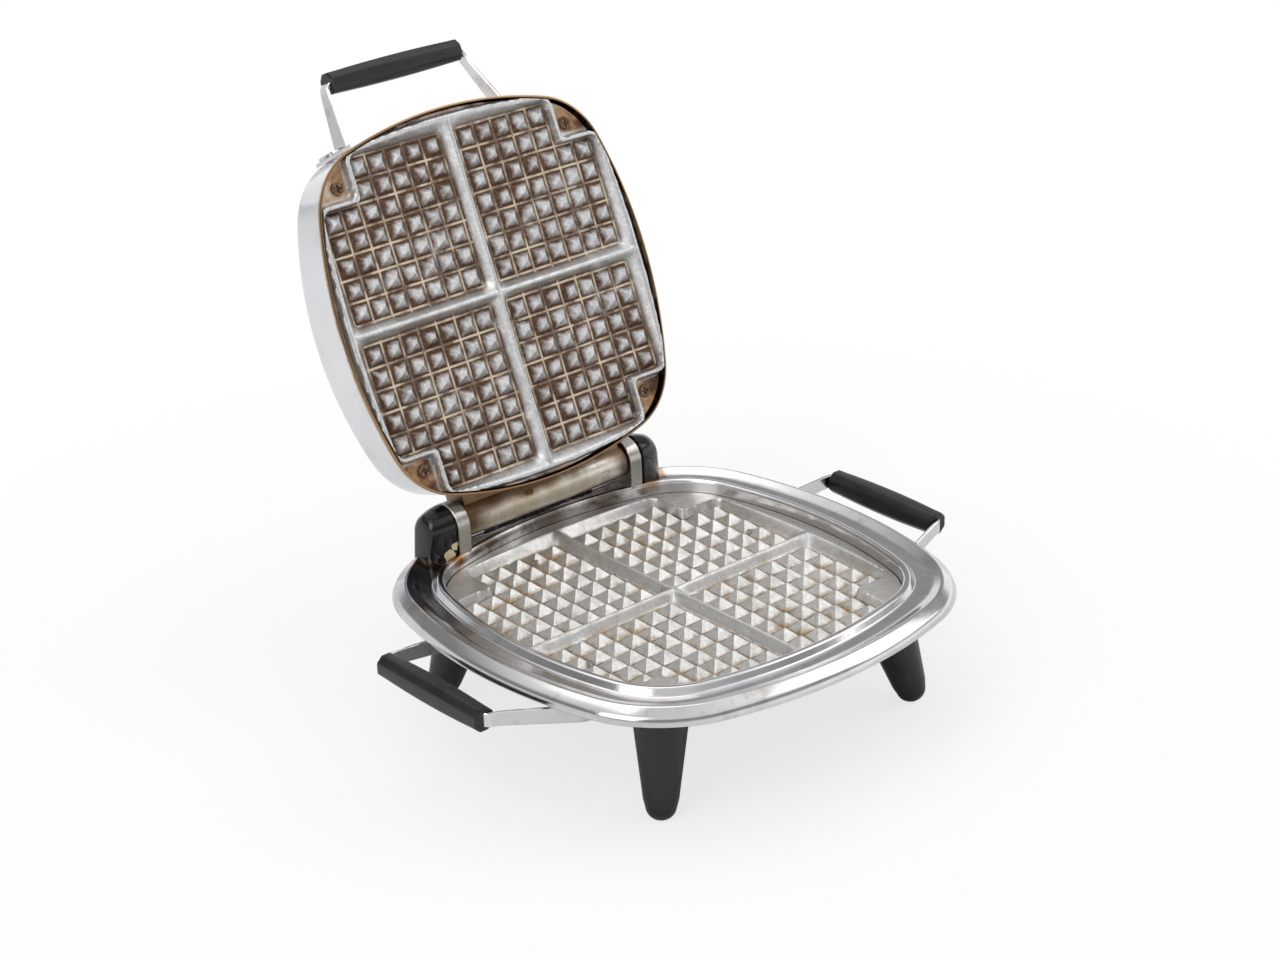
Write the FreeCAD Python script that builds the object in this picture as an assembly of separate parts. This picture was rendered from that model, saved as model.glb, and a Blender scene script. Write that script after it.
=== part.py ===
import FreeCAD, Part
import math
import os

os.makedirs("parts", exist_ok=True)

# Plan shape: a square with bulged sides, measured at the top of the tray's rim
rim_half = 99.2
rim_corner_radius = 50.0
side_arc_angle = 16.0

# Heights over the table
table_level = 0.0
apex_level = 50.0
pyramid_height = 3.65
rib_rise = 0.8
parting_gap = 0.7
grid_plate_thickness = 2.25

# Waffle grid
pitch = 9.6
first_valley = 4.4
pyramids_per_side = 7
pyramids_beside_notch = 5
valley_half_width = 0.45
apex_half_width = 0.35
rib_base_gap = 0.1
rib_top_half_width = 2.2
border_base_gap = 0.1
border_top_inner_gap = 0.9
border_outer_gap = 2.0
border_corner_radius = 4.0
grid_edge_gap = 0.2
grid_boss_radius = 4.5
grid_boss_centre = 64.0
grid_boss_side = 22.0
grid_boss_top_sink = 0.5

# Pressed tray, as a centre line of half sizes and heights
tray_thickness = 1.0
skirt_edge_half = 104.3
skirt_edge_level = 50.0
skirt_bend_half = 103.2
skirt_bend_level = 52.6
rim_line_half = 98.9
rim_line_level = 55.6
channel_outer_half = 94.5
channel_outer_level = 53.4
channel_inner_half = 87.6
channel_inner_level = 53.2
crest_outer_half = 85.4
crest_level = 56.2
well_wall_half = 83.1
ledge_level = 43.6
ledge_inner_half = 78.8
skirt_bend_radius = 4.0
rim_bend_radius = 1.8
channel_outer_radius = 8.0
channel_inner_radius = 2.0
crest_radius = 1.1
ledge_bend_radius = 1.2

# Pan under the tray
pan_thickness = 0.8
pan_flange_half = 82.6
pan_step_half = 80.6
pan_ledge_drop = 1.3
pan_slope_top_half = 61.0
pan_slope_foot_half = 55.0
pan_floor_level = 33.4
pan_bend_radius = 1.0
pan_core_overlap = 0.6

# Legs
leg_top_centre = 61.5
leg_foot_centre = 70.5
leg_top_radius = 11.6
leg_tip_radius = 6.9
leg_tip_level = 6.0
leg_tip_rounding = 6.0
leg_top_overrun = 6.0
foot_flat_sink = 0.6
leg_bore_depth = 12.0
leg_screw_radius = 1.9
leg_screw_head_radius = 3.2
leg_screw_head_height = 1.8
thread_clearance = 0.05
screw_pass_clearance = 0.25
screw_end_clearance = 0.6

# Grid screws
grid_screw_offset = 60.8
grid_screw_radius = 1.6
grid_screw_head_radius = 2.9
grid_screw_head_height = 1.5
grid_screw_length = 7.0
recess_width = 0.9
recess_length = 3.4
recess_depth = 0.9

# Handles
handle_strap_thickness = 1.5
handle_grip_bar_height = 6.0
side_handle_gap = 20.3
side_handle_level = 49.1
side_grip_length = 63.0
side_strap_corner_y = 32.6
side_strap_root_x = 60.0
side_strap_root_y = 48.0
side_strap_step_x = 82.4
side_strap_shoulder_x = 84.6
side_strap_shoulder_top = 44.9
side_strap_lower_edge = 37.2
side_tab_width = 11.0
side_tab_length = 10.5
side_tab_rivet_x = 65.4
side_tab_rivet_y = 42.0
strap_bend_radius = 3.2
strap_outer_margin = 2.0
rivet_radius = 1.8
rivet_head_radius = 3.2
rivet_head_height = 1.2
rivet_seat_gap = 0.06
grip_slot_clearance = 0.1
grip_end_height = 9.6
grip_end_width = 9.0
grip_crown = 1.3
grip_chamfer = 2.6

# Lid handle, in the closed position
lid_handle_gap = 22.6
lid_handle_level = 80.0
lid_grip_length = 69.0
lid_strap_corner_x = 35.6
lid_strap_root_x = 42.4
lid_strap_root_y = 76.8
lid_strap_root_level = 71.3
lid_strap_root_height = 9.4
lid_tab_length = 13.0
lid_tab_rivet_inset = 8.0

# Lid shell, in the closed position
lid_edge_half = 81.8
lid_edge_level = 52.2
lid_shoulder_half = 79.2
lid_shoulder_level = 80.0
lid_crown_level = 91.0
lid_crown_radius = 351.0
lid_fillet = 9.0
lid_sheet = 0.8
lid_core_half = 60.0
lid_core_overlap = 1.0

# Hinge
hinge_axis_y = 86.5
hinge_axis_level = 67.1
open_angle = 113.4
barrel_radius = 7.9
barrel_wall = 1.0
barrel_half_length = 44.2
barrel_end_thickness = 1.6
pin_radius = 2.0
pin_running_clearance = 0.05
bracket_gap = 0.4
bracket_plate_thickness = 1.2
bracket_width = 6.3
bracket_radius = 9.4
bracket_band_thickness = 1.2
cap_length = 12.6
cap_outer_radius = 6.4
cap_pin_depth = 7.0
cap_edge_fillet = 1.2
saddle_half_length = 42.5
saddle_lower_level = 61.4
saddle_upper_level = 73.4
saddle_front_y = 72.0
shell_window_gap = 0.1
rod_y = 88.0
rod_level = 56.8
rod_radius = 0.9
sleeve_radius = 1.45
sleeve_half_length = 30.0
low_fill_level = 40.0

# Heating elements
element_ring_radius = 44.0
element_tube_radius = 2.3
lower_element_level = 39.9
upper_element_level = 61.9
element_lead_spacing = 9.5
element_lead_radius = 1.1
upper_lead_end_inset = 4.2
upper_lead_end_drop = 2.5
insulator_radius = 5.0
insulator_groove_gap = 0.15
insulator_count = 4
insulator_turn = 45.0
reflector_half = 53.0
reflector_thickness = 0.6
upper_reflector_level = 66.0
upper_reflector_thickness = 0.5
upper_reflector_gap = 0.15
grid_post_radius = 4.2

# Inlet for the plug
inlet_half_width = 17.0
inlet_front_y = 62.0
inlet_back_y = 84.0
inlet_bottom_level = 29.5
inlet_pin_level = 35.4
inlet_pin_radius = 2.38
inlet_pin_spacing = 19.0
inlet_pin_back_y = 100.0
inlet_pin_sink = 13.0
inlet_shank_radius = 1.8
inlet_edge_fillet = 2.0
inlet_screw_radius = 1.5
inlet_screw_head_radius = 2.8
inlet_screw_head_height = 1.1
inlet_screw_length = 7.0
inlet_screw_offset = 12.8
inlet_screw_y = 68.0
lead_clearance = 0.3

# Common values
overrun = 5.0
fit_gap = 0.05
origin_shift_y = 37.8

# Derived plan values
side_handle_reach = skirt_edge_half + side_handle_gap
lid_handle_reach = lid_edge_half + lid_handle_gap
bulge = rim_half - rim_corner_radius
turn_share = 1.0 - math.cos(math.radians(side_arc_angle)) + math.sin(math.radians(side_arc_angle))
side_radius = rim_corner_radius + bulge / turn_share
side_centre = side_radius - rim_half
corner_centre = (side_radius - rim_corner_radius) * math.sin(math.radians(side_arc_angle))

# Derived levels
valley_level = apex_level - pyramid_height
grid_bottom = valley_level - grid_plate_thickness
rib_level = apex_level + rib_rise
mid_level = rib_level + parting_gap / 2
upper_plate_back = 2 * mid_level - grid_bottom
lid_draft = (lid_edge_half - lid_shoulder_half) / (lid_shoulder_level - lid_edge_level)
grid_half = lid_edge_half - lid_draft * (upper_plate_back - lid_edge_level) - lid_sheet - grid_edge_gap
ledge_underside = ledge_level - tray_thickness / 2
pan_ledge_top = ledge_underside - pan_ledge_drop
pan_ledge_bottom = pan_ledge_top - pan_thickness
pan_floor_top = pan_floor_level + pan_thickness / 2
valley_end = first_valley + pyramids_per_side * pitch
notch_end = first_valley + pyramids_beside_notch * pitch
bracket_inner_x = barrel_half_length + bracket_gap
bracket_outer_x = bracket_inner_x + bracket_width
hinge_point = (0.0, hinge_axis_y, hinge_axis_level)

# Screw heads, as radius and height
grid_screw_head = (grid_screw_head_radius, grid_screw_head_height)
leg_screw_head = (leg_screw_head_radius, leg_screw_head_height)
inlet_screw_head = (inlet_screw_head_radius, inlet_screw_head_height)


def vec(x, y, z):
    return FreeCAD.Vector(x, y, z)


up = vec(0, 0, 1)
along = vec(1, 0, 0)
origin = vec(0, 0, 0)


# Rounded plan outlines and sweeps around them
def quarter_turned(x, y, turn):
    for step in range(turn):
        x, y = -y, x
    return x, y


def arc_at(centre, radius, first, last, level):
    points = []
    for angle in (first, (first + last) / 2, last):
        a = math.radians(angle)
        points.append(vec(centre[0] + radius * math.cos(a), centre[1] + radius * math.sin(a), level))
    return Part.Arc(*points).toShape()


def plan_plate(half, low, high):
    inset = rim_half - half
    edges = []
    for turn in range(4):
        side = quarter_turned(-side_centre, 0, turn)
        corner = quarter_turned(corner_centre, corner_centre, turn)
        first = 90 * turn - side_arc_angle
        last = 90 * turn + side_arc_angle
        edges.append(arc_at(side, side_radius - inset, first, last, low))
        edges.append(arc_at(corner, rim_corner_radius - inset, last, first + 90, low))
    return Part.Face(Part.Wire(edges)).extrude(vec(0, 0, high - low))


def swept_around(face):
    pieces = []
    for turn in range(4):
        side = quarter_turned(-side_centre, 0, turn)
        corner = quarter_turned(corner_centre, corner_centre, turn)
        shape = face.translated(vec(side_centre, 0, 0))
        solid = shape.revolve(origin, up, 2 * side_arc_angle)
        solid.rotate(origin, up, 90 * turn - side_arc_angle)
        pieces.append(solid.translated(vec(side[0], side[1], 0)))
        shape = face.translated(vec(-bulge, 0, 0))
        solid = shape.revolve(origin, up, 90 - 2 * side_arc_angle)
        solid.rotate(origin, up, 90 * turn + side_arc_angle)
        pieces.append(solid.translated(vec(corner[0], corner[1], 0)))
    return pieces[0].multiFuse(pieces[1:]).removeSplitter()


def section_face(points):
    corners = [vec(x, 0, z) for x, z in points]
    return Part.Face(Part.makePolygon(corners + corners[:1]))


# Bent strips with rounded corners
def side_of_path(points, radii, shift):
    edges = []
    here = None
    for index in range(len(points) - 1):
        (ax, ay), (bx, by) = points[index], points[index + 1]
        length = math.hypot(bx - ax, by - ay)
        dx, dy = (bx - ax) / length, (by - ay) / length
        if here is None:
            here = (ax - dy * shift, ay + dx * shift)
        if index == len(points) - 2:
            edges.append([here, (bx - dy * shift, by + dx * shift)])
            return edges
        cx, cy = points[index + 2]
        after = math.hypot(cx - bx, cy - by)
        ex, ey = (cx - bx) / after, (cy - by) / after
        sign = 1 if dx * ey - dy * ex > 0 else -1
        turn = math.acos(dx * ex + dy * ey)
        radius = radii[index]
        reach = radius * math.tan(turn / 2)
        mx, my = bx - dx * reach - dy * radius * sign, by - dy * reach + dx * radius * sign
        far = math.hypot(bx - mx, by - my)
        share = (radius - sign * shift) / far
        first = (bx - dx * reach - dy * shift, by - dy * reach + dx * shift)
        middle = (mx + (bx - mx) * share, my + (by - my) * share)
        last = (bx + ex * reach - ey * shift, by + ey * reach + ex * shift)
        edges.append([here, first])
        edges.append([first, middle, last])
        here = last


def path_face(runs, upright):
    edges = []
    for run in runs:
        corners = [vec(a, 0, b) if upright else vec(a, b, 0) for a, b in run]
        if len(corners) == 3:
            edges.append(Part.Arc(*corners).toShape())
        else:
            edges.append(Part.makeLine(*corners))
    return Part.Face(Part.Wire(Part.__sortEdges__(edges)))


def strip_face(points, radii, thickness, upright):
    one = side_of_path(points, radii, thickness / 2)
    other = side_of_path(points, radii, -thickness / 2)
    ends = [[one[0][0], other[0][0]], [one[-1][-1], other[-1][-1]]]
    return path_face(one + other + ends, upright)


# Plain solids
def rod_between(a, b, radius):
    return Part.makeCylinder(radius, (b - a).Length, a, b - a)


def block(x0, y0, z0, x1, y1, z1):
    return Part.makeBox(x1 - x0, y1 - y0, z1 - z0, vec(x0, y0, z0))


def mirrored_x(shape):
    return shape.mirror(origin, along)


def four_quarters(shape):
    return [shape.rotated(origin, up, 90 * turn) for turn in range(4)]


# Tray with skirt, rim, channel, ring bead and well
tray_line = [
    (skirt_edge_half, skirt_edge_level),
    (skirt_bend_half, skirt_bend_level),
    (rim_line_half, rim_line_level),
    (channel_outer_half, channel_outer_level),
    (channel_inner_half, channel_inner_level),
    (crest_outer_half, crest_level),
    (well_wall_half, crest_level),
    (well_wall_half, ledge_level),
    (ledge_inner_half, ledge_level),
]
tray_radii = [
    skirt_bend_radius,
    rim_bend_radius,
    channel_outer_radius,
    channel_inner_radius,
    crest_radius,
    crest_radius,
    ledge_bend_radius,
]


def base_tray():
    return swept_around(strip_face(tray_line, tray_radii, tray_thickness, True))


def under_tray_top():
    runs = side_of_path(tray_line, tray_radii, -tray_thickness / 2)
    first, last = runs[0][0], runs[-1][-1]
    low_first, low_last = (first[0], low_fill_level), (last[0], low_fill_level)
    body = swept_around(path_face(runs + [[last, low_last], [low_last, low_first], [low_first, first]], True))
    crest_top = crest_level + tray_thickness / 2
    corners = [(ledge_inner_half, low_fill_level), (crest_outer_half, low_fill_level)]
    corners += [(crest_outer_half, crest_top), (ledge_inner_half, crest_top)]
    return body.fuse(swept_around(section_face(corners)))


# Pan that closes the base below
def base_pan():
    flange_line = ledge_underside - pan_thickness / 2
    ledge_line = pan_ledge_top - pan_thickness / 2
    floor_line = pan_floor_level
    line = [
        (pan_flange_half, flange_line),
        (pan_step_half, flange_line),
        (pan_step_half - pan_ledge_drop, ledge_line),
        (pan_slope_top_half, ledge_line),
        (pan_slope_foot_half, floor_line),
        (pan_slope_foot_half - pan_bend_radius * 2, floor_line),
    ]
    radii = [pan_bend_radius / 2, pan_bend_radius / 2, pan_bend_radius, pan_bend_radius]
    ring = swept_around(strip_face(line, radii, pan_thickness, True))
    inner = pan_slope_foot_half - pan_bend_radius * 2 + pan_core_overlap
    floor = plan_plate(inner, floor_line - pan_thickness / 2, floor_line + pan_thickness / 2)
    pan = ring.fuse(floor).removeSplitter()
    holes = []
    screw_hole = leg_screw_radius + screw_pass_clearance
    for centre in leg_screw_centres():
        holes.append(rod_between(centre - up * overrun, centre + up * overrun, screw_hole))
    screw_hole = grid_screw_radius + screw_pass_clearance
    for centre in boss_centres():
        start = vec(centre.x, centre.y, pan_ledge_top)
        holes.append(rod_between(start - up * overrun, start + up * overrun, screw_hole))
    for x, y in side_rivet_centres():
        start = vec(x, y, pan_ledge_top)
        holes.append(rod_between(start - up * overrun, start + up * overrun, rivet_radius + fit_gap))
    for sign in (-1, 1):
        start = vec(sign * inlet_screw_offset, inlet_screw_y, pan_ledge_top)
        holes.append(rod_between(start - up * overrun, start + up * overrun, inlet_screw_radius + fit_gap))
    holes.extend(lead_rods(lower_element_level, element_lead_radius + lead_clearance))
    return pan.cut(holes)


# Cast waffle grid with pyramids, cross ribs, notched border and bosses
def plus_corners(grow, level):
    a, b = valley_end + grow, notch_end + grow
    quarter = [(a, -b), (a, b), (b, b), (b, a)]
    corners = []
    for turn in range(4):
        for x, y in quarter[1:]:
            px, py = quarter_turned(x, y, turn)
            corners.append(vec(px, py, level))
    return corners


def plus_wire(grow, level):
    corners = plus_corners(grow, level)
    return Part.makePolygon(corners + corners[:1])


def border():
    rise = rib_level - grid_bottom
    outer = Part.Face(plus_wire(border_outer_gap, grid_bottom)).extrude(up * rise)
    a, b = valley_end + border_outer_gap, notch_end + border_outer_gap
    rounded = []
    for edge in outer.Edges:
        middle = edge.CenterOfMass
        near, far = sorted((abs(middle.x), abs(middle.y)))
        upright = abs(middle.z - grid_bottom - rise / 2) < fit_gap
        if abs(near - b) < fit_gap and abs(far - a) < fit_gap and upright:
            rounded.append(edge)
    outer = outer.makeFillet(border_corner_radius, rounded)
    low = plus_wire(border_base_gap, valley_level)
    high = plus_wire(border_top_inner_gap, rib_level)
    hollow = Part.makeLoft([low, high], True)
    sink = Part.Face(low).extrude(up * (grid_bottom - valley_level))
    return outer.cut([hollow, sink])


def cross_ribs():
    base = first_valley - valley_half_width - rib_base_gap
    reach = valley_end + border_top_inner_gap
    profile = [
        (-base, grid_bottom),
        (base, grid_bottom),
        (base, valley_level),
        (rib_top_half_width, rib_level),
        (-rib_top_half_width, rib_level),
        (-base, valley_level),
    ]
    bar = section_face(profile).translated(vec(0, -reach, 0)).extrude(vec(0, 2 * reach, 0))
    return [bar, bar.rotated(origin, up, 90)]


def pyramid_quarter():
    corners = [
        (first_valley, first_valley),
        (valley_end, first_valley),
        (valley_end, notch_end),
        (notch_end, notch_end),
        (notch_end, valley_end),
        (first_valley, valley_end),
    ]
    points = [vec(x, y, grid_bottom) for x, y in corners]
    body = Part.Face(Part.makePolygon(points + points[:1])).extrude(up * (apex_level - grid_bottom))
    wide = pitch / 2 - apex_half_width
    profile = [
        (-valley_half_width, valley_level),
        (valley_half_width, valley_level),
        (wide, apex_level),
        (wide, apex_level + overrun),
        (-wide, apex_level + overrun),
        (-wide, apex_level),
    ]
    groove = section_face(profile).extrude(vec(0, valley_end + overrun, 0))
    cuts = []
    for index in range(pyramids_per_side + 1):
        place = first_valley + index * pitch
        cuts.append(groove.translated(vec(place, 0, 0)))
        turned = groove.rotated(origin, up, -90)
        cuts.append(turned.translated(vec(0, place, 0)))
    return body.cut(cuts)


def waffle_grid():
    plate = plan_plate(grid_half, grid_bottom, valley_level)
    pieces = four_quarters(pyramid_quarter()) + cross_ribs() + [border()]
    return plate.multiFuse(pieces).removeSplitter()


def boss_centres():
    first = Part.Vertex(grid_boss_centre, grid_boss_side, pan_ledge_top)
    return [shape.Point for shape in four_quarters(first)]


def lower_grid(plain):
    bosses = []
    bores = []
    bore_radius = grid_screw_radius + thread_clearance
    for centre in boss_centres():
        top = vec(centre.x, centre.y, grid_bottom + grid_boss_top_sink)
        bosses.append(rod_between(centre, top, grid_boss_radius))
        bores.append(rod_between(centre, centre + up * grid_screw_length, bore_radius))
    return plain.multiFuse(bosses).cut(bores)


def screw_offsets():
    return [shape.Point for shape in four_quarters(Part.Vertex(grid_screw_offset, grid_screw_offset, 0))]


def upper_grid(plain):
    turned = plain.rotated(vec(0, 0, mid_level), along, 180)
    bores = []
    for centre in screw_offsets():
        start = vec(centre.x, centre.y, mid_level)
        end = vec(centre.x, centre.y, upper_plate_back + overrun)
        bores.append(rod_between(start, end, grid_screw_radius + fit_gap))
    return turned.cut(bores)


# Screws with crossed recesses, head end first
def crossed_screw(seat, axis, radius, head, length):
    head_radius, head_height = head
    disc = Part.makeCylinder(head_radius, head_height, origin, vec(0, 0, -1))
    ends = [edge for edge in disc.Edges if edge.CenterOfMass.z < -head_height / 2]
    rim = [edge for edge in ends if len(edge.Vertexes) == 1]
    disc = disc.makeFillet(head_height / 3, rim)
    shank = Part.makeCylinder(radius, length, origin, up)
    wide, deep = recess_width / 2, recess_length / 2
    low = -head_height - overrun
    one = block(-wide, -deep, low, wide, deep, recess_depth - head_height)
    screw = disc.fuse(shank).cut([one, one.rotated(origin, up, 90)])
    screw.Placement = FreeCAD.Placement(seat, FreeCAD.Rotation(up, axis))
    return screw


def lower_grid_screws():
    screws = []
    for centre in boss_centres():
        seat = vec(centre.x, centre.y, pan_ledge_bottom)
        length = grid_screw_length + pan_thickness - screw_end_clearance
        screws.append(crossed_screw(seat, up, grid_screw_radius, grid_screw_head, length))
    return Part.makeCompound(screws)


def upper_grid_screws():
    screws = []
    for centre in screw_offsets():
        seat = vec(centre.x, centre.y, 2 * mid_level - valley_level)
        length = grid_screw_length
        screws.append(crossed_screw(seat, up, grid_screw_radius, grid_screw_head, length))
    return Part.makeCompound(screws)


def upper_grid_posts():
    posts = []
    for centre in screw_offsets():
        low = vec(centre.x, centre.y, upper_plate_back)
        high = vec(centre.x, centre.y, upper_reflector_level)
        post = rod_between(low, high, grid_post_radius)
        bore = rod_between(low, high - up * screw_end_clearance, grid_screw_radius + thread_clearance)
        posts.append(post.cut(bore))
    return Part.makeCompound(posts)


# Tapered legs, splayed outward along the diagonals
def leg_screw_centres():
    first = Part.Vertex(leg_top_centre, leg_top_centre, pan_ledge_top)
    return [shape.Point for shape in four_quarters(first)]


def leg():
    top = vec(leg_top_centre, leg_top_centre, pan_ledge_bottom)
    foot = vec(leg_foot_centre, leg_foot_centre, table_level)
    axis = top - foot
    length = axis.Length
    slope = (leg_top_radius - leg_tip_radius) / (length - leg_tip_level)
    low = -foot_flat_sink
    profile = [
        vec(0, 0, low),
        vec(leg_tip_radius - slope * (leg_tip_level + foot_flat_sink), 0, low),
        vec(leg_top_radius + slope * leg_top_overrun, 0, length + leg_top_overrun),
        vec(0, 0, length + leg_top_overrun),
    ]
    body = Part.Face(Part.makePolygon(profile + profile[:1])).revolve(origin, up, 360)
    rim = [edge for edge in body.Edges if edge.CenterOfMass.z < low + fit_gap and len(edge.Vertexes) == 1]
    body = body.makeFillet(leg_tip_rounding, rim)
    body.Placement = FreeCAD.Placement(foot, FreeCAD.Rotation(up, axis))
    wide = rim_half + leg_top_radius
    above = block(0, 0, pan_ledge_bottom, wide, wide, pan_ledge_bottom + leg_top_radius * 2)
    below = block(0, 0, table_level - leg_top_radius, wide, wide, table_level)
    bore = rod_between(top - up * leg_bore_depth, top + up * overrun, leg_screw_radius + thread_clearance)
    return body.cut([above, below, bore])


def leg_screws():
    screws = []
    for centre in leg_screw_centres():
        length = leg_bore_depth + pan_thickness - screw_end_clearance
        down = vec(0, 0, -1)
        screws.append(crossed_screw(centre, down, leg_screw_radius, leg_screw_head, length))
    return Part.makeCompound(screws)


# Handles: a strap on edge through a moulded grip
def side_rivet_centres():
    x, y = side_tab_rivet_x, side_tab_rivet_y
    return [(x, y), (x, -y), (-x, y), (-x, -y)]


def side_strap():
    line = [
        (side_strap_root_x, -side_strap_root_y),
        (side_handle_reach, -side_strap_corner_y),
        (side_handle_reach, side_strap_corner_y),
        (side_strap_root_x, side_strap_root_y),
    ]
    face = strip_face(line, [strap_bend_radius] * 2, handle_strap_thickness, False)
    band = face.extrude(up * (side_handle_level + handle_grip_bar_height))
    bar = handle_grip_bar_height / 2
    outer = side_handle_reach + strap_outer_margin
    inner = side_handle_reach - strap_outer_margin * 2
    profile = [
        (outer, side_handle_level + bar),
        (inner, side_handle_level + bar),
        (side_strap_shoulder_x, side_strap_shoulder_top),
        (side_strap_step_x, pan_ledge_bottom),
        (side_strap_root_x - strap_outer_margin, pan_ledge_bottom),
        (side_strap_root_x - strap_outer_margin, side_strap_lower_edge),
        (side_strap_shoulder_x, side_strap_lower_edge),
        (inner, side_handle_level - bar),
        (outer, side_handle_level - bar),
    ]
    span = side_strap_root_y + overrun
    side = section_face(profile).translated(vec(0, -span, 0)).extrude(vec(0, 2 * span, 0))
    strap = band.common(side)
    x0, y1 = side_strap_root_x, side_strap_root_y - handle_strap_thickness / 2
    low = pan_ledge_bottom - handle_strap_thickness
    tab = block(x0, y1 - side_tab_length, low, x0 + side_tab_width, y1, pan_ledge_bottom)
    hole = rod_between(
        vec(side_tab_rivet_x, side_tab_rivet_y, low - overrun),
        vec(side_tab_rivet_x, side_tab_rivet_y, low + overrun * 2),
        rivet_radius + fit_gap,
    )
    tab = tab.cut(hole)
    return strap.multiFuse([tab, tab.mirror(origin, vec(0, 1, 0))]).removeSplitter()


def headed_rivet(start, end, head_at_start, head_at_end):
    axis = (end - start).normalize()
    pieces = []
    if head_at_start:
        pieces.append(rod_between(start - axis * rivet_head_height, start, rivet_head_radius))
    if head_at_end:
        pieces.append(rod_between(end, end + axis * rivet_head_height, rivet_head_radius))
    return rod_between(start, end, rivet_radius).multiFuse(pieces)


def side_handle_rivets():
    rivets = []
    for x, y in side_rivet_centres():
        low = vec(x, y, pan_ledge_bottom - handle_strap_thickness)
        rivets.append(headed_rivet(low, vec(x, y, pan_ledge_top), True, True))
    return Part.makeCompound(rivets)


def grip(length):
    shares = (-1.0, -0.5, 0.0, 0.5, 1.0)
    wires = []
    for share in shares:
        swell = grip_crown * (1 - share * share)
        wide = grip_end_width / 2 + swell / 2
        tall = grip_end_height / 2 + swell / 2
        cut = grip_chamfer
        corners = [
            (wide, tall - cut),
            (wide - cut, tall),
            (-wide + cut, tall),
            (-wide, tall - cut),
            (-wide, -tall + cut),
            (-wide + cut, -tall),
            (wide - cut, -tall),
            (wide, -tall + cut),
        ]
        points = [vec(x, share * length / 2, z) for x, z in corners]
        wires.append(Part.makePolygon(points + points[:1]))
    body = Part.makeLoft(wires, True, False)
    half_x = handle_strap_thickness / 2 + grip_slot_clearance
    half_z = handle_grip_bar_height / 2 + grip_slot_clearance
    return body.cut(block(-half_x, -length, -half_z, half_x, length, half_z))


def side_grip():
    return grip(side_grip_length).translated(vec(side_handle_reach, 0, side_handle_level))


# Lid, built in the closed position
def lid_solid(skin):
    edge = lid_edge_half - skin
    shoulder = lid_shoulder_half - skin
    slope = (edge - shoulder) / (lid_shoulder_level - lid_edge_level)
    low = lid_edge_level - skin * overrun
    high = lid_crown_level + overrun
    foot = edge + slope * (lid_edge_level - low)
    peak = edge - slope * (high - lid_edge_level)
    wall = section_face([(lid_core_half, low), (foot, low), (peak, high), (lid_core_half, high)])
    body = swept_around(wall).fuse(plan_plate(lid_core_half + lid_core_overlap, low, high)).removeSplitter()
    centre = vec(0, 0, lid_crown_level - lid_crown_radius)
    crown = Part.makeSphere(lid_crown_radius - skin, centre, up, 0, 90, 360)
    body = body.common(crown)
    rim = []
    for item in body.Edges:
        middle = item.CenterOfMass
        if middle.z > lid_edge_level + lid_fillet and math.hypot(middle.x, middle.y) > lid_core_half:
            if item.BoundBox.ZLength < lid_fillet:
                rim.append(item)
    return body.makeFillet(lid_fillet - skin, rim)


def barrel_window():
    reach = barrel_half_length + shell_window_gap
    return rod_between(hinge_line(-reach), hinge_line(reach), barrel_radius + fit_gap)


def lid_shell(outer, inner):
    shell = outer.cut(inner)
    holes = lead_rods(upper_element_level, element_lead_radius + lead_clearance)
    for x, y, z, direction in lid_rivet_places():
        start = vec(x, y, z)
        through = direction * overrun
        holes.append(rod_between(start - through, start + through, rivet_radius + fit_gap))
    return shell.cut([barrel_window()] + holes)


def lid_wall_half(level):
    return lid_edge_half - lid_draft * (level - lid_edge_level)


def lid_rivet_places():
    places = []
    level = lid_strap_root_level
    x = lid_strap_root_x + lid_tab_rivet_inset
    radius = side_radius - rim_half + lid_wall_half(level)
    lean = math.atan(lid_draft)
    for sign in (-1, 1):
        angle = math.asin(x / radius)
        y = side_centre - radius * math.cos(angle)
        level_way = vec(sign * math.sin(angle), -math.cos(angle), 0)
        direction = level_way * math.cos(lean) + up * math.sin(lean)
        places.append((sign * x, y, level, direction))
    return places


def lid_strap():
    line = [
        (-lid_strap_root_x, -lid_strap_root_y),
        (-lid_strap_corner_x, -lid_handle_reach),
        (lid_strap_corner_x, -lid_handle_reach),
        (lid_strap_root_x, -lid_strap_root_y),
    ]
    face = strip_face(line, [strap_bend_radius] * 2, handle_strap_thickness, False)
    band = face.translated(vec(0, 0, lid_edge_level)).extrude(up * (lid_crown_level - lid_edge_level))
    bar = handle_grip_bar_height / 2
    root = lid_strap_root_height / 2
    far = lid_handle_reach + strap_outer_margin
    near = lid_handle_reach - strap_outer_margin * 2
    back = lid_strap_root_y - overrun
    profile = [
        (-far, lid_handle_level - bar),
        (-near, lid_handle_level - bar),
        (-back, lid_strap_root_level - root),
        (-back, lid_strap_root_level + root),
        (-near, lid_handle_level + bar),
        (-far, lid_handle_level + bar),
    ]
    corners = [vec(0, y, z) for y, z in profile]
    side = Part.Face(Part.makePolygon(corners + corners[:1]))
    span = lid_strap_root_x + overrun
    side = side.translated(vec(-span, 0, 0)).extrude(vec(2 * span, 0, 0))
    strap = band.common(side)
    low, high = lid_strap_root_level - root, lid_strap_root_level + root
    tab_ring = swept_around(section_face([
        (lid_wall_half(low), low),
        (lid_wall_half(low) + handle_strap_thickness, low),
        (lid_wall_half(high) + handle_strap_thickness, high),
        (lid_wall_half(high), high),
    ]))
    first = lid_strap_root_x - handle_strap_thickness
    tab = tab_ring.common(block(first, -rim_half, low, first + lid_tab_length, 0, high))
    body = strap.multiFuse([tab, mirrored_x(tab)])
    holes = []
    for x, y, z, direction in lid_rivet_places():
        start = vec(x, y, z)
        through = direction * overrun
        holes.append(rod_between(start - through, start + through, rivet_radius + fit_gap))
    return body.cut(holes)


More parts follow.
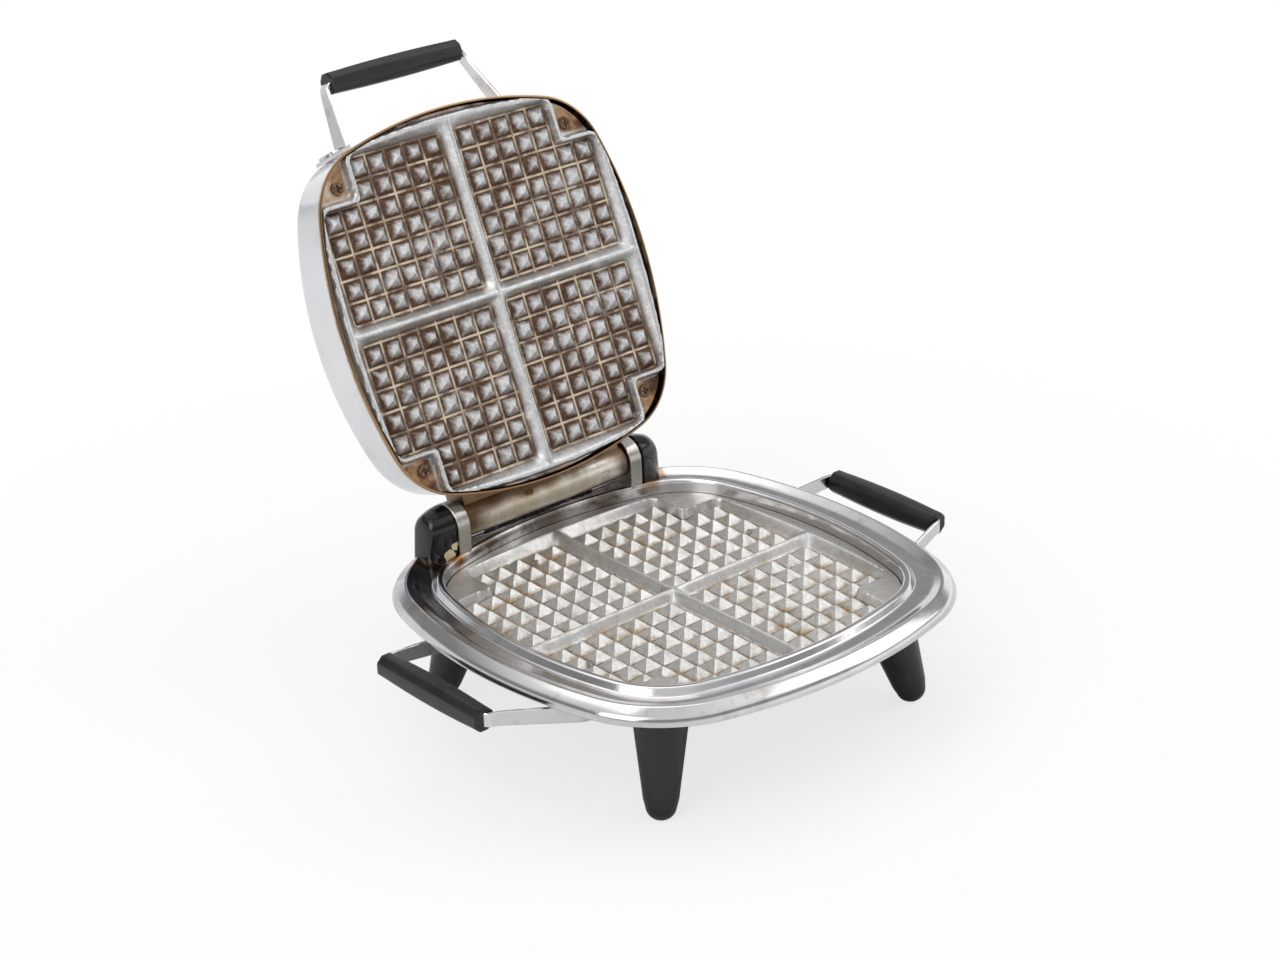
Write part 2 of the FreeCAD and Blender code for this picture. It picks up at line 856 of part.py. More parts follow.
def lid_handle_rivets():
    rivets = []
    for x, y, z, direction in lid_rivet_places():
        seat = vec(x, y, z)
        inside = seat - direction * (lid_sheet + rivet_seat_gap)
        outside = seat + direction * handle_strap_thickness
        rivets.append(headed_rivet(inside, outside, True, True))
    return Part.makeCompound(rivets)


def lid_grip():
    body = grip(lid_grip_length).rotated(origin, up, 90)
    return body.translated(vec(0, -lid_handle_reach, lid_handle_level))


# Hinge
def hinge_line(x):
    return vec(x, hinge_axis_y, hinge_axis_level)


def hinge_barrel():
    ends = hinge_line(-barrel_half_length), hinge_line(barrel_half_length)
    inset = along * barrel_end_thickness
    hollow = rod_between(ends[0] + inset, ends[1] - inset, barrel_radius - barrel_wall)
    bore = rod_between(ends[0] - inset, ends[1] + inset, pin_radius + pin_running_clearance)
    leads = lead_rods(upper_element_level, element_lead_radius + lead_clearance)
    return rod_between(ends[0], ends[1], barrel_radius).cut([hollow, bore] + leads)


def hinge_saddle(outer):
    half = saddle_half_length
    body = block(-half, saddle_front_y, saddle_lower_level, half, hinge_axis_y, saddle_upper_level)
    around = rod_between(hinge_line(-half - overrun), hinge_line(half + overrun), barrel_radius + fit_gap)
    leads = lead_rods(upper_element_level, element_lead_radius + lead_clearance)
    body = body.cut([around, outer] + leads)
    return max(body.Solids, key=lambda solid: solid.Volume)


def arch_wire(x, radius, low):
    left, right = vec(x, hinge_axis_y - radius, low), vec(x, hinge_axis_y + radius, low)
    left_top = vec(x, hinge_axis_y - radius, hinge_axis_level)
    right_top = vec(x, hinge_axis_y + radius, hinge_axis_level)
    top = vec(x, hinge_axis_y, hinge_axis_level + radius)
    arch = Part.Arc(left_top, top, right_top).toShape()
    lines = [Part.makeLine(left, left_top), arch, Part.makeLine(right_top, right), Part.makeLine(right, left)]
    return Part.Wire(lines)


def hinge_bracket(ground):
    width = vec(bracket_width, 0, 0)
    outer = Part.Face(arch_wire(bracket_inner_x, bracket_radius, low_fill_level)).extrude(width)
    inner_x = bracket_inner_x + bracket_plate_thickness
    inner_wire = arch_wire(inner_x, bracket_radius - bracket_band_thickness, low_fill_level - overrun)
    inner = Part.Face(inner_wire).extrude(width)
    bore = rod_between(hinge_line(0), hinge_line(bracket_outer_x + overrun), pin_radius + fit_gap)
    rod_start, rod_end = vec(0, rod_y, rod_level), vec(bracket_outer_x, rod_y, rod_level)
    rod_hole = rod_between(rod_start, rod_end, rod_radius + fit_gap)
    return outer.cut([inner, bore, rod_hole, ground])


def hinge_cap(ground):
    near = arch_wire(bracket_outer_x, bracket_radius, low_fill_level)
    far = arch_wire(bracket_outer_x + cap_length, cap_outer_radius, low_fill_level)
    body = Part.makeLoft([near, far], True, True)
    bore = rod_between(hinge_line(0), hinge_line(bracket_outer_x + cap_pin_depth), pin_radius + fit_gap)
    body = body.cut([bore, ground])
    body = max(body.Solids, key=lambda solid: solid.Volume)
    far_edges = [edge for edge in body.Edges if edge.BoundBox.XMin > bracket_outer_x + cap_length - fit_gap]
    far_edges = [edge for edge in far_edges if edge.BoundBox.ZMax > hinge_axis_level]
    return body.makeFillet(cap_edge_fillet, far_edges)


def hinge_pin():
    reach = bracket_outer_x + cap_pin_depth - screw_end_clearance
    return rod_between(hinge_line(-reach), hinge_line(reach), pin_radius)


def cross_rod():
    reach = bracket_inner_x + bracket_plate_thickness
    return rod_between(vec(-reach, rod_y, rod_level), vec(reach, rod_y, rod_level), rod_radius)


def lead_sleeve():
    ends = vec(-sleeve_half_length, rod_y, rod_level), vec(sleeve_half_length, rod_y, rod_level)
    inside = rod_between(ends[0] - along, ends[1] + along, rod_radius + fit_gap)
    return rod_between(ends[0], ends[1], sleeve_radius).cut(inside)


# Heating elements with leads, insulators and reflectors
def lead_rods(level, radius):
    rods = []
    for sign in (-1, 1):
        x = sign * element_lead_spacing
        start = vec(x, math.sqrt(element_ring_radius ** 2 - x ** 2), level)
        if level > mid_level:
            end = vec(x, hinge_axis_y - upper_lead_end_inset, hinge_axis_level - upper_lead_end_drop)
        else:
            end = vec(x, inlet_back_y - inlet_pin_sink, inlet_pin_level)
        rods.append(rod_between(start, end, radius))
    return rods


def heating_element(level):
    ring = Part.makeTorus(element_ring_radius, element_tube_radius, vec(0, 0, level))
    half = element_lead_spacing
    tall = element_tube_radius * 2
    gap = block(-half, 0, level - tall, half, element_ring_radius * 2, level + tall)
    return ring.cut(gap).multiFuse(lead_rods(level, element_lead_radius))


def insulators(level, seat_level):
    posts = []
    groove_radius = element_tube_radius + insulator_groove_gap
    groove = Part.makeTorus(element_ring_radius, groove_radius, vec(0, 0, level))
    for index in range(insulator_count):
        angle = math.radians(insulator_turn + index * 360 / insulator_count)
        x, y = element_ring_radius * math.cos(angle), element_ring_radius * math.sin(angle)
        post = rod_between(vec(x, y, seat_level), vec(x, y, level), insulator_radius)
        posts.append(post.cut(groove))
    return Part.makeCompound(posts)


def lower_reflector():
    inside = reflector_half - pan_bend_radius * 2
    return plan_plate(inside, pan_floor_top, pan_floor_top + reflector_thickness)


def upper_reflector():
    inside = lid_wall_half(upper_reflector_level) - lid_sheet - upper_reflector_gap
    plate = plan_plate(inside, upper_reflector_level, upper_reflector_level + upper_reflector_thickness)
    leads = lead_rods(upper_element_level, element_lead_radius + lead_clearance)
    return plate.cut([barrel_window()] + leads)


# Inlet for a two pin plug, fixed under the pan's ledge at the back
def inlet_block():
    half = inlet_half_width
    body = block(-half, inlet_front_y, inlet_bottom_level, half, inlet_back_y, pan_ledge_bottom)
    low = [edge for edge in body.Edges if edge.BoundBox.ZMax < inlet_bottom_level + fit_gap]
    body = body.makeFillet(inlet_edge_fillet, low)
    cuts = lead_rods(lower_element_level, element_lead_radius + lead_clearance)
    for sign in (-1, 1):
        x = sign * inlet_pin_spacing / 2
        start = vec(x, inlet_back_y - inlet_pin_sink, inlet_pin_level)
        end = start + vec(0, inlet_pin_sink + overrun, 0)
        cuts.append(rod_between(start, end, inlet_shank_radius + fit_gap))
        top = vec(sign * inlet_screw_offset, inlet_screw_y, pan_ledge_bottom)
        cuts.append(rod_between(top - up * inlet_screw_length, top, inlet_screw_radius + thread_clearance))
    return body.cut(cuts)


def inlet_pins():
    pins = []
    for sign in (-1, 1):
        x = sign * inlet_pin_spacing / 2
        start = vec(x, inlet_back_y - inlet_pin_sink, inlet_pin_level)
        face = vec(x, inlet_back_y, inlet_pin_level)
        end = vec(x, inlet_pin_back_y, inlet_pin_level)
        pin = rod_between(face, end, inlet_pin_radius)
        rim = [edge for edge in pin.Edges if edge.BoundBox.YMin > inlet_pin_back_y - fit_gap]
        pin = pin.makeFillet(inlet_pin_radius / 2, rim)
        pins.append(pin.fuse(rod_between(start, face, inlet_shank_radius)))
    return Part.makeCompound(pins)


def inlet_screws():
    screws = []
    for sign in (-1, 1):
        seat = vec(sign * inlet_screw_offset, inlet_screw_y, pan_ledge_top)
        length = inlet_screw_length + pan_thickness - screw_end_clearance
        down = vec(0, 0, -1)
        screws.append(crossed_screw(seat, down, inlet_screw_radius, inlet_screw_head, length))
    return Part.makeCompound(screws)


# Output, with the lid swung open about the hinge
def save(name, shape):
    shape.translated(vec(0, -origin_shift_y, 0)).exportStep("parts/" + name + ".step")


def save_lid(name, shape):
    save(name, shape.rotated(vec(*hinge_point), vec(-1, 0, 0), open_angle))


ground = under_tray_top()
plain_grid = waffle_grid()
lid_outer = lid_solid(0)
lid_inner = lid_solid(lid_sheet)
right_bracket = hinge_bracket(ground)
right_cap = hinge_cap(ground)
right_strap = side_strap()
right_grip = side_grip()
one_leg = leg()

save("base_tray", base_tray())
save("base_pan", base_pan())
save("lower_grid", lower_grid(plain_grid))
save("lower_grid_screws", lower_grid_screws())
save("leg_back_right", one_leg)
save("leg_back_left", one_leg.rotated(origin, up, 90))
save("leg_front_left", one_leg.rotated(origin, up, 180))
save("leg_front_right", one_leg.rotated(origin, up, 270))
save("leg_screws", leg_screws())
save("right_handle_strap", right_strap)
save("left_handle_strap", mirrored_x(right_strap))
save("right_handle_grip", right_grip)
save("left_handle_grip", mirrored_x(right_grip))
save("side_handle_rivets", side_handle_rivets())
save("hinge_bracket_right", right_bracket)
save("hinge_bracket_left", mirrored_x(right_bracket))
save("hinge_cap_right", right_cap)
save("hinge_cap_left", mirrored_x(right_cap))
save("hinge_pin", hinge_pin())
save("cross_rod", cross_rod())
save("lead_sleeve", lead_sleeve())
save("lower_element", heating_element(lower_element_level))
save("lower_insulators", insulators(lower_element_level, pan_floor_top + reflector_thickness))
save("lower_reflector", lower_reflector())
save("inlet_block", inlet_block())
save("inlet_pins", inlet_pins())
save("inlet_screws", inlet_screws())
save_lid("lid_shell", lid_shell(lid_outer, lid_inner))
save_lid("upper_grid", upper_grid(plain_grid))
save_lid("upper_grid_screws", upper_grid_screws())
save_lid("upper_grid_posts", upper_grid_posts())
save_lid("lid_handle_strap", lid_strap())
save_lid("lid_handle_grip", lid_grip())
save_lid("lid_handle_rivets", lid_handle_rivets())
save_lid("hinge_barrel", hinge_barrel())
save_lid("hinge_saddle", hinge_saddle(lid_outer))
save_lid("upper_element", heating_element(upper_element_level))
save_lid("upper_insulators", insulators(upper_element_level, upper_reflector_level))
save_lid("upper_reflector", upper_reflector())
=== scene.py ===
import math
import bmesh
import bpy
import numpy as np
from mathutils import Matrix, Vector


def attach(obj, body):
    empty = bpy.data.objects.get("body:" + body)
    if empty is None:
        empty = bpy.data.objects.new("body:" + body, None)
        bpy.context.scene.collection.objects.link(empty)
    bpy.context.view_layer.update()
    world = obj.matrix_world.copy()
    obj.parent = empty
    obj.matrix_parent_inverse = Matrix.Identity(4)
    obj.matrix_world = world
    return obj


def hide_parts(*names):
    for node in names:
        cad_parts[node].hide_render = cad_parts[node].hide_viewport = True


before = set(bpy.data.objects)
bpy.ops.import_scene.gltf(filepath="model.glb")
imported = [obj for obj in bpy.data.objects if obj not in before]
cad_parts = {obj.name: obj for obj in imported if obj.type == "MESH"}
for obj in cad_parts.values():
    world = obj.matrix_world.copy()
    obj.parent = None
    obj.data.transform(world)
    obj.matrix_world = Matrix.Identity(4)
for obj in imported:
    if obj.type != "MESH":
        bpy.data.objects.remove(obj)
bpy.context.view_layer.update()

# Pressed tray. One sheet of plated steel, drawn into a flared skirt, a rolled rim,
# a shallow channel, a ring bead and the well that takes the cast grid.
# Its plan is a square with bulged sides, made of eight arcs that run into each other.
MM = 0.001
DEPTH_SHIFT = 37.8
RIM_HALF, RIM_CORNER, SIDE_ANGLE = 99.2, 50.0, math.radians(16.0)
SIDE_RADIUS = RIM_CORNER + (RIM_HALF - RIM_CORNER) / (1 - math.cos(SIDE_ANGLE) + math.sin(SIDE_ANGLE))
SIDE_CENTRE = SIDE_RADIUS - RIM_HALF
CORNER_CENTRE = (SIDE_RADIUS - RIM_CORNER) * math.sin(SIDE_ANGLE)
SMALLEST_OFFSET = 56.0
HINGE_Y, HINGE_LEVEL = 86.5, 67.1
OPENED_BY = math.radians(113.4)


def plan_outline(half, side_steps=26, corner_steps=22):
    """Points of the bulged square with this half size, anticlockwise from the right side."""
    base = max(half, SMALLEST_OFFSET)
    inset = RIM_HALF - base
    points = []
    for turn in range(4):
        c, s = math.cos(turn * math.pi / 2), math.sin(turn * math.pi / 2)
        for centre, radius, first, last, steps in (
            ((-SIDE_CENTRE, 0.0), SIDE_RADIUS - inset, -SIDE_ANGLE, SIDE_ANGLE, side_steps),
            ((CORNER_CENTRE, CORNER_CENTRE), RIM_CORNER - inset,
             SIDE_ANGLE, math.pi / 2 - SIDE_ANGLE, corner_steps),
        ):
            a = np.linspace(first, last, steps, endpoint=False)
            x, y = centre[0] + radius * np.cos(a), centre[1] + radius * np.sin(a)
            points.append(np.c_[x * c - y * s, x * s + y * c])
    return np.vstack(points) * (half / base)


def plan_half(x, y):
    """Half size of the bulged square that passes through each point."""
    x, y = np.abs(x), np.abs(y)
    x, y = np.maximum(x, y), np.minimum(x, y)
    side = np.hypot(x + SIDE_CENTRE, y) - SIDE_RADIUS
    corner = np.hypot(x - CORNER_CENTRE, y - CORNER_CENTRE) - RIM_CORNER
    in_side = np.arctan2(y, x + SIDE_CENTRE) < SIDE_ANGLE
    return RIM_HALF + np.where(in_side, side, corner)


def bent_line(points, radii, steps=7):
    """A line with rounded bends, as points and left hand normals."""
    out = [np.array(points[0], float)]
    for i, radius in enumerate(radii):
        a, b, c = (np.array(p, float) for p in points[i:i + 3])
        d, e = (b - a) / np.linalg.norm(b - a), (c - b) / np.linalg.norm(c - b)
        turn = math.acos(np.clip(d @ e, -1, 1))
        reach = radius * math.tan(turn / 2)
        sign = 1 if d[0] * e[1] - d[1] * e[0] > 0 else -1
        centre = b - d * reach + sign * radius * np.array((-d[1], d[0]))
        start = b - d * reach - centre
        for k in range(steps + 1):
            t = sign * turn * k / steps
            out.append(centre + np.array((start[0] * math.cos(t) - start[1] * math.sin(t),
                                          start[0] * math.sin(t) + start[1] * math.cos(t))))
    out.append(np.array(points[-1], float))
    line = np.array(out)
    step = np.gradient(line, axis=0)
    step /= np.linalg.norm(step, axis=1)[:, None]
    return line, np.c_[-step[:, 1], step[:, 0]]


def sheet_section(points, radii, thickness, steps=7):
    """Closed outline of a bent sheet with rounded ends."""
    line, normal = bent_line(points, radii, steps)
    half = thickness / 2
    ends = []
    for end, side in ((-1, 1), (0, -1)):
        along = line[end] - line[-2 if end else 1]
        along /= np.linalg.norm(along)
        rounded = [line[end] + half * (side * normal[end] * math.cos(t) + along * math.sin(t))
                   for t in (math.pi / 4, math.pi / 2, 3 * math.pi / 4)]
        ends.append(rounded)
    return np.vstack([line + normal * half, ends[0], (line - normal * half)[::-1], ends[1]])


def grid_faces(rows, columns, close_rows=False, close_columns=False):
    """Four sided faces between rows of points; a closed grid runs on into its start."""
    r = np.arange(rows if close_rows else rows - 1)
    c = np.arange(columns if close_columns else columns - 1)
    R, C = np.meshgrid(r, c, indexing="ij")
    R2, C2 = (R + 1) % rows, (C + 1) % columns
    corners = [R * columns + C, R * columns + C2, R2 * columns + C2, R2 * columns + C]
    return np.stack(corners, -1).reshape(-1, 4).tolist()


def tube_faces(rows, columns):
    """Faces of a stack of closed rings with a flat face on either end."""
    first_end = list(range(columns))
    last_end = list(range((rows - 1) * columns, rows * columns))
    return grid_faces(rows, columns, False, True) + [first_end, last_end]


def make_piece(name, points, faces, sharp=35.0, opened=False):
    """A mesh piece from millimetre points in the closed iron, set in the shared frame."""
    P = np.array(points, float)
    if opened:
        P = swing_open(P)
    P = (P - np.array((0.0, DEPTH_SHIFT, 0.0))) * MM
    mesh = bpy.data.meshes.new(name)
    mesh.from_pydata(P.tolist(), [], faces)
    piece = bpy.data.objects.new(name, mesh)
    bpy.context.scene.collection.objects.link(piece)
    bm = bmesh.new()
    bm.from_mesh(mesh)
    bmesh.ops.recalc_face_normals(bm, faces=bm.faces)
    bm.to_mesh(mesh)
    bm.free()
    mesh.shade_smooth()
    mesh.set_sharp_from_angle(angle=math.radians(sharp))
    return piece


def swept_ring(name, section, sharp=35.0, opened=False):
    """A closed section of half sizes and heights, carried round the plan."""
    rings = []
    for half, level in section:
        xy = plan_outline(half)
        rings.append(np.c_[xy, np.full(len(xy), level)])
    faces = grid_faces(len(rings), len(rings[0]), True, True)
    return make_piece(name, np.vstack(rings), faces, sharp, opened)


def swing_open(P):
    """Turns closed lid points about the hinge axis into the open lid."""
    c, s = math.cos(-OPENED_BY), math.sin(-OPENED_BY)
    y, z = P[:, 1] - HINGE_Y, P[:, 2] - HINGE_LEVEL
    return np.c_[P[:, 0], HINGE_Y + y * c - z * s, HINGE_LEVEL + y * s + z * c]


class Finish:
    """A material whose nodes are added one call at a time."""

    def __init__(self, name):
        self.material = bpy.data.materials.new(name)
        self.material.use_nodes = True
        self.tree = self.material.node_tree
        self.shader = self.tree.nodes["Principled BSDF"]
        self.place = self.node("ShaderNodeTexCoord").outputs["Object"]

    def node(self, kind, inputs=None, **settings):
        made = self.tree.nodes.new(kind)
        for key, value in settings.items():
            setattr(made, key, value)
        for key, value in (inputs or {}).items():
            self.join(value, made.inputs[key])
        return made

    def join(self, value, socket):
        if isinstance(value, bpy.types.NodeSocket):
            self.tree.links.new(value, socket)
        else:
            socket.default_value = value

    def noise(self, scale, detail=4.0, roughness=0.55, at=None, stretch=None):
        at = at or self.place
        if stretch:
            at = self.node("ShaderNodeMapping", {"Vector": at, "Scale": stretch}).outputs["Vector"]
        inputs = {"Vector": at, "Scale": scale, "Detail": detail, "Roughness": roughness}
        return self.node("ShaderNodeTexNoise", inputs).outputs["Fac"]

    def ramp(self, value, *stops):
        made = self.node("ShaderNodeValToRGB", {"Fac": value})
        ramp = made.color_ramp
        while len(ramp.elements) < len(stops):
            ramp.elements.new(0.5)
        for element, (at, colour) in zip(ramp.elements, stops):
            colour = colour if isinstance(colour, tuple) else (colour, colour, colour)
            element.position = at
            element.color = (*colour, 1.0)
        return made.outputs["Color"]

    def blend(self, share, a, b):
        made = self.node("ShaderNodeMix", {0: share}, data_type="RGBA")
        self.join((*a, 1.0) if isinstance(a, tuple) else a, made.inputs[6])
        self.join((*b, 1.0) if isinstance(b, tuple) else b, made.inputs[7])
        return made.outputs[2]

    def sum(self, operation, a, b=0.0):
        return self.node("ShaderNodeMath", {0: a, 1: b}, operation=operation).outputs[0]

    def plus(self, a, b):
        return self.sum("ADD", a, b)

    def minus(self, a, b):
        return self.sum("SUBTRACT", a, b)

    def times(self, a, b):
        return self.sum("MULTIPLY", a, b)

    def vector(self, operation, a, b=(0.0, 0.0, 0.0), output="Vector"):
        return self.node("ShaderNodeVectorMath", {0: a, 1: b}, operation=operation).outputs[output]

    def ragged(self, value, noise, amount):
        """Shifts a value up and down by noise, so that an edge drawn from it is ragged."""
        return self.plus(value, self.times(self.minus(noise, 0.5), amount))

    def away_from(self, centre):
        return self.vector("DISTANCE", self.place, centre, "Value")

    def mark(self, name, output="Fac"):
        """Reads one of the values that mark_plan keeps on the mesh."""
        made = self.node("ShaderNodeAttribute", attribute_name=name, attribute_type="GEOMETRY")
        return made.outputs[output]

    def split(self, vector):
        return self.node("ShaderNodeSeparateXYZ", {0: vector}).outputs

    def bump(self, height, distance, strength=1.0):
        made = self.node("ShaderNodeBump", {"Height": height, "Distance": distance, "Strength": strength})
        self.join(made.outputs["Normal"], self.shader.inputs["Normal"])

    def set(self, **values):
        for key, value in values.items():
            self.join(value, self.shader.inputs[key.replace("_", " ")])
        return self.material


def plated(name, bright, dull, rough_low, rough_high, stain=0.0, spots_and_shade_at=(), edge_level=None):
    """Bright plating with wiping scratches and haze; stains are brown, by spot or along an edge, and the
    spots can also lay painted shade.
    """
    old_stain, edge_stain, edge_width = (0.30, 0.19, 0.09), (0.34, 0.19, 0.07), 0.0022
    f = Finish(name)
    haze = f.noise(14.0, 5.0, 0.6)
    smear = f.noise(60.0, 6.0, 0.7, stretch=(1.0, 0.25, 1.0))
    hairs = f.noise(900.0, 2.0, 0.5, stretch=(1.0, 0.03, 0.3))
    cross = f.noise(800.0, 2.0, 0.5, stretch=(0.04, 1.0, 0.3))
    torn = f.noise(110.0, 6.0, 0.7)
    colour = f.blend(f.ramp(haze, (0.35, 0.0), (0.75, 1.0)), bright, dull)
    if stain:
        spots = f.ramp(f.noise(55.0, 8.0, 0.65), (0.56, 0.0), (0.70, stain))
        colour = f.blend(spots, colour, old_stain)
    for centre, radius, width, share, tint in spots_and_shade_at:
        off_ring = f.sum("ABSOLUTE", f.minus(f.away_from(centre), radius))
        near = f.ragged(f.sum("DIVIDE", off_ring, width), torn, 1.6)
        colour = f.blend(f.ramp(near, (0.35, share), (0.95, 0.0)), colour, tint)
    if edge_level:
        level = f.split(f.mark("mould_place", "Vector"))["Z"]
        above = f.sum("DIVIDE", f.minus(level, edge_level * MM), edge_width)
        near = f.ragged(above, torn, 1.5)
        colour = f.blend(f.ramp(near, (0.25, 0.95), (0.85, 0.0)), colour, edge_stain)
    worn = f.times(f.ramp(hairs, (0.62, 0.0), (0.72, 1.0)), 0.5)
    worn = f.plus(worn, f.times(f.ramp(cross, (0.64, 0.0), (0.73, 1.0)), 0.4))
    smeared = f.ramp(smear, (0.3, rough_low), (0.75, rough_high))
    f.bump(f.plus(worn, f.times(haze, 3.0)), 0.00002, 0.5)
    return f.set(Base_Color=colour, Metallic=1.0, Roughness=f.plus(smeared, f.times(worn, 0.14)))


# The middle of the sheet, from the skirt's edge over the rim, the channel and the bead
# down into the well, as half sizes and heights; then the radius of each bend.
TRAY_LINE = [
    (104.3, 50.0), (103.2, 52.6), (98.9, 55.6), (94.5, 53.4), (87.6, 53.2),
    (85.4, 56.2), (83.1, 56.2), (83.1, 43.6), (78.8, 43.6)]
TRAY_BENDS = [4.0, 1.2, 8.0, 2.0, 1.1, 1.1, 1.2]
TRAY_SHEET, INSIDE_BEAD = 1.0, 83.0
tray = swept_ring("tray_pressing", sheet_section(TRAY_LINE, TRAY_BENDS, TRAY_SHEET), 60.0)
# Stains, and painted shade under the barrel: centre, radius of the ring (0 for a spot), width, share and
# colour.
RUST_RING, SOOT_AND_SHADE = (0.34, 0.15, 0.045), (0.10, 0.065, 0.045)
tray_stains_and_shade = [
    ((-0.0565, 0.0487, 0.055), 0.0190, 0.0090, 0.5, (0.30, 0.24, 0.20)),
    ((-0.0565, 0.0487, 0.055), 0.0108, 0.0028, 0.95, RUST_RING),
    ((-0.0800, 0.0300, 0.055), 0.0, 0.0220, 0.45, (0.28, 0.30, 0.38)),
    ((-0.0900, 0.0150, 0.055), 0.0, 0.0070, 0.55, (0.42, 0.33, 0.22)),
    ((0.0565, 0.0487, 0.055), 0.0108, 0.0028, 0.8, (0.34, 0.17, 0.07)),
    # The three dark spots under the barrel are grime plus painted shade, standing in for the barrel's shadow
    # on the tray.
    ((-0.0330, 0.0480, 0.055), 0.0, 0.0170, 0.85, SOOT_AND_SHADE),
    ((0.0, 0.0480, 0.055), 0.0, 0.0190, 0.85, SOOT_AND_SHADE),
    ((0.0330, 0.0480, 0.055), 0.0, 0.0170, 0.85, SOOT_AND_SHADE),
    ((-0.0895, -0.0517, 0.0545), 0.0, 0.0011, 1.0, (0.80, 0.66, 0.03)),
]
tray_plating = plated("tray plating", (0.70, 0.70, 0.705), (0.54, 0.53, 0.52), 0.08, 0.24, 0.35, tray_stains_and_shade)
tray.data.materials.append(tray_plating)
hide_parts("base_tray")
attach(tray, "base")


def tray_top(x, y):
    """Height of the tray's upper face at these points."""
    line, normal = bent_line(TRAY_LINE, TRAY_BENDS)
    top = (line - normal * TRAY_SHEET / 2)[::-1]
    keep = top[:, 0] > INSIDE_BEAD
    return np.interp(plan_half(np.asarray(x, float), np.asarray(y, float)), top[keep][:, 0], top[keep][:, 1])


# Pan and reflector. Plain steel sheet below the tray, darkened by heat, held by the leg
# screws and spot welds; the reflector lies on its floor under the element.
def repaint(name, finish):
    """Gives a construction node its finish; its shape stays as it was built."""
    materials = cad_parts[name].data.materials
    materials.clear()
    materials.append(finish)


f = Finish("pan sheet")
scale_marks = f.noise(70.0, 6.0, 0.65)
heat = f.noise(9.0, 3.0)
blue = f.ramp(heat, (0.35, (0.42, 0.41, 0.40)), (0.6, (0.36, 0.33, 0.29)), (0.8, (0.28, 0.27, 0.30)))
tone = f.blend(f.ramp(scale_marks, (0.55, 0.0), (0.8, 0.5)), blue, (0.22, 0.15, 0.09))
f.bump(scale_marks, 0.00005)
pan_sheet = f.set(Base_Color=tone, Metallic=0.9, Roughness=f.ramp(scale_marks, (0.3, 0.28), (0.7, 0.5)))
for name in ("base_pan", "lower_reflector", "upper_reflector"):
    repaint(name, pan_sheet)


# Cast grids. Both come from one mould: an aluminium plate with four sunk fields of
# pyramids, cross ribs and a bead that steps in at the corners. Batter has baked brown
# into the upper one; the lower one is scrubbed to a pale grey.
PITCH, FIRST_VALLEY, CELLS, NOTCH_CELLS = 9.6, 4.4, 7, 5
APEX, VALLEY, RIB, PLATE_BACK = 50.0, 46.35, 50.8, 44.1
FIELD_END, NOTCH_END = FIRST_VALLEY + CELLS * PITCH, FIRST_VALLEY + NOTCH_CELLS * PITCH
TOOTH_BASE, TOOTH_TOP, TOOTH_SINK = 9.0, 0.9, 0.15
POCKET_MARGIN, POCKET_CORNER, BEAD_CORNER, BEAD_WIDTH, RIB_HALF = 0.2, 3.0, 5.0, 1.3, 0.45
MIRROR_LEVEL = 51.15


def box_distance(x, y, low, high, radius):
    """Distance outside a rectangle with rounded corners, below zero inside it."""
    cx, cy = (low[0] + high[0]) / 2, (low[1] + high[1]) / 2
    qx = np.abs(x - cx) - (high[0] - low[0]) / 2 + radius
    qy = np.abs(y - cy) - (high[1] - low[1]) / 2 + radius
    return np.hypot(np.maximum(qx, 0), np.maximum(qy, 0)) + np.minimum(np.maximum(qx, qy), 0) - radius


def smooth_step(value, low, high):
    t = np.clip((value - low) / (high - low), 0, 1)
    return t * t * (3 - 2 * t)


def joined(a, b, blend):
    """Smooth union of two distances."""
    h = np.maximum(blend - np.abs(a - b), 0) / blend
    return np.minimum(a, b) - h * h * blend * 0.25


def plate_surface(x, y, reach, sunken):
    """Height of the casting between the pyramids, and each point's distance outside the fields."""
    ax, ay = np.abs(x), np.abs(y)
    s, notch = FIRST_VALLEY - 0.35, NOTCH_END + 2.0
    long_end, short_end = FIELD_END + POCKET_MARGIN, NOTCH_END + POCKET_MARGIN
    foot = joined(
        box_distance(ax, ay, (s, s), (long_end, short_end), POCKET_CORNER),
        box_distance(ax, ay, (s, s), (short_end, long_end), POCKET_CORNER), 2.0)
    bulge = reach - FIELD_END - 2.3
    low, high = (-reach, -notch), (reach, notch)
    outline = joined(
        box_distance(ax + bulge * (ay / notch) ** 2, ay, low, high, BEAD_CORNER),
        box_distance(ay + bulge * (ax / notch) ** 2, ax, low, high, BEAD_CORNER), 3.0)
    room = np.minimum(np.minimum(ax, ay) - RIB_HALF, -(outline + BEAD_WIDTH))
    climb = np.clip(foot, 0, None) / (np.clip(foot, 0, None) + np.clip(room, 1e-3, None))
    climb = np.where(room <= 0, 1.0, climb)
    soft = climb * climb * (3 - 2 * climb)
    level = VALLEY + (RIB - VALLEY) * (0.7 * climb + 0.3 * soft)
    outside = smooth_step(outline, 0.1, 1.5)
    level = level * (1 - outside) + (RIB - sunken) * outside
    return level, foot, outline


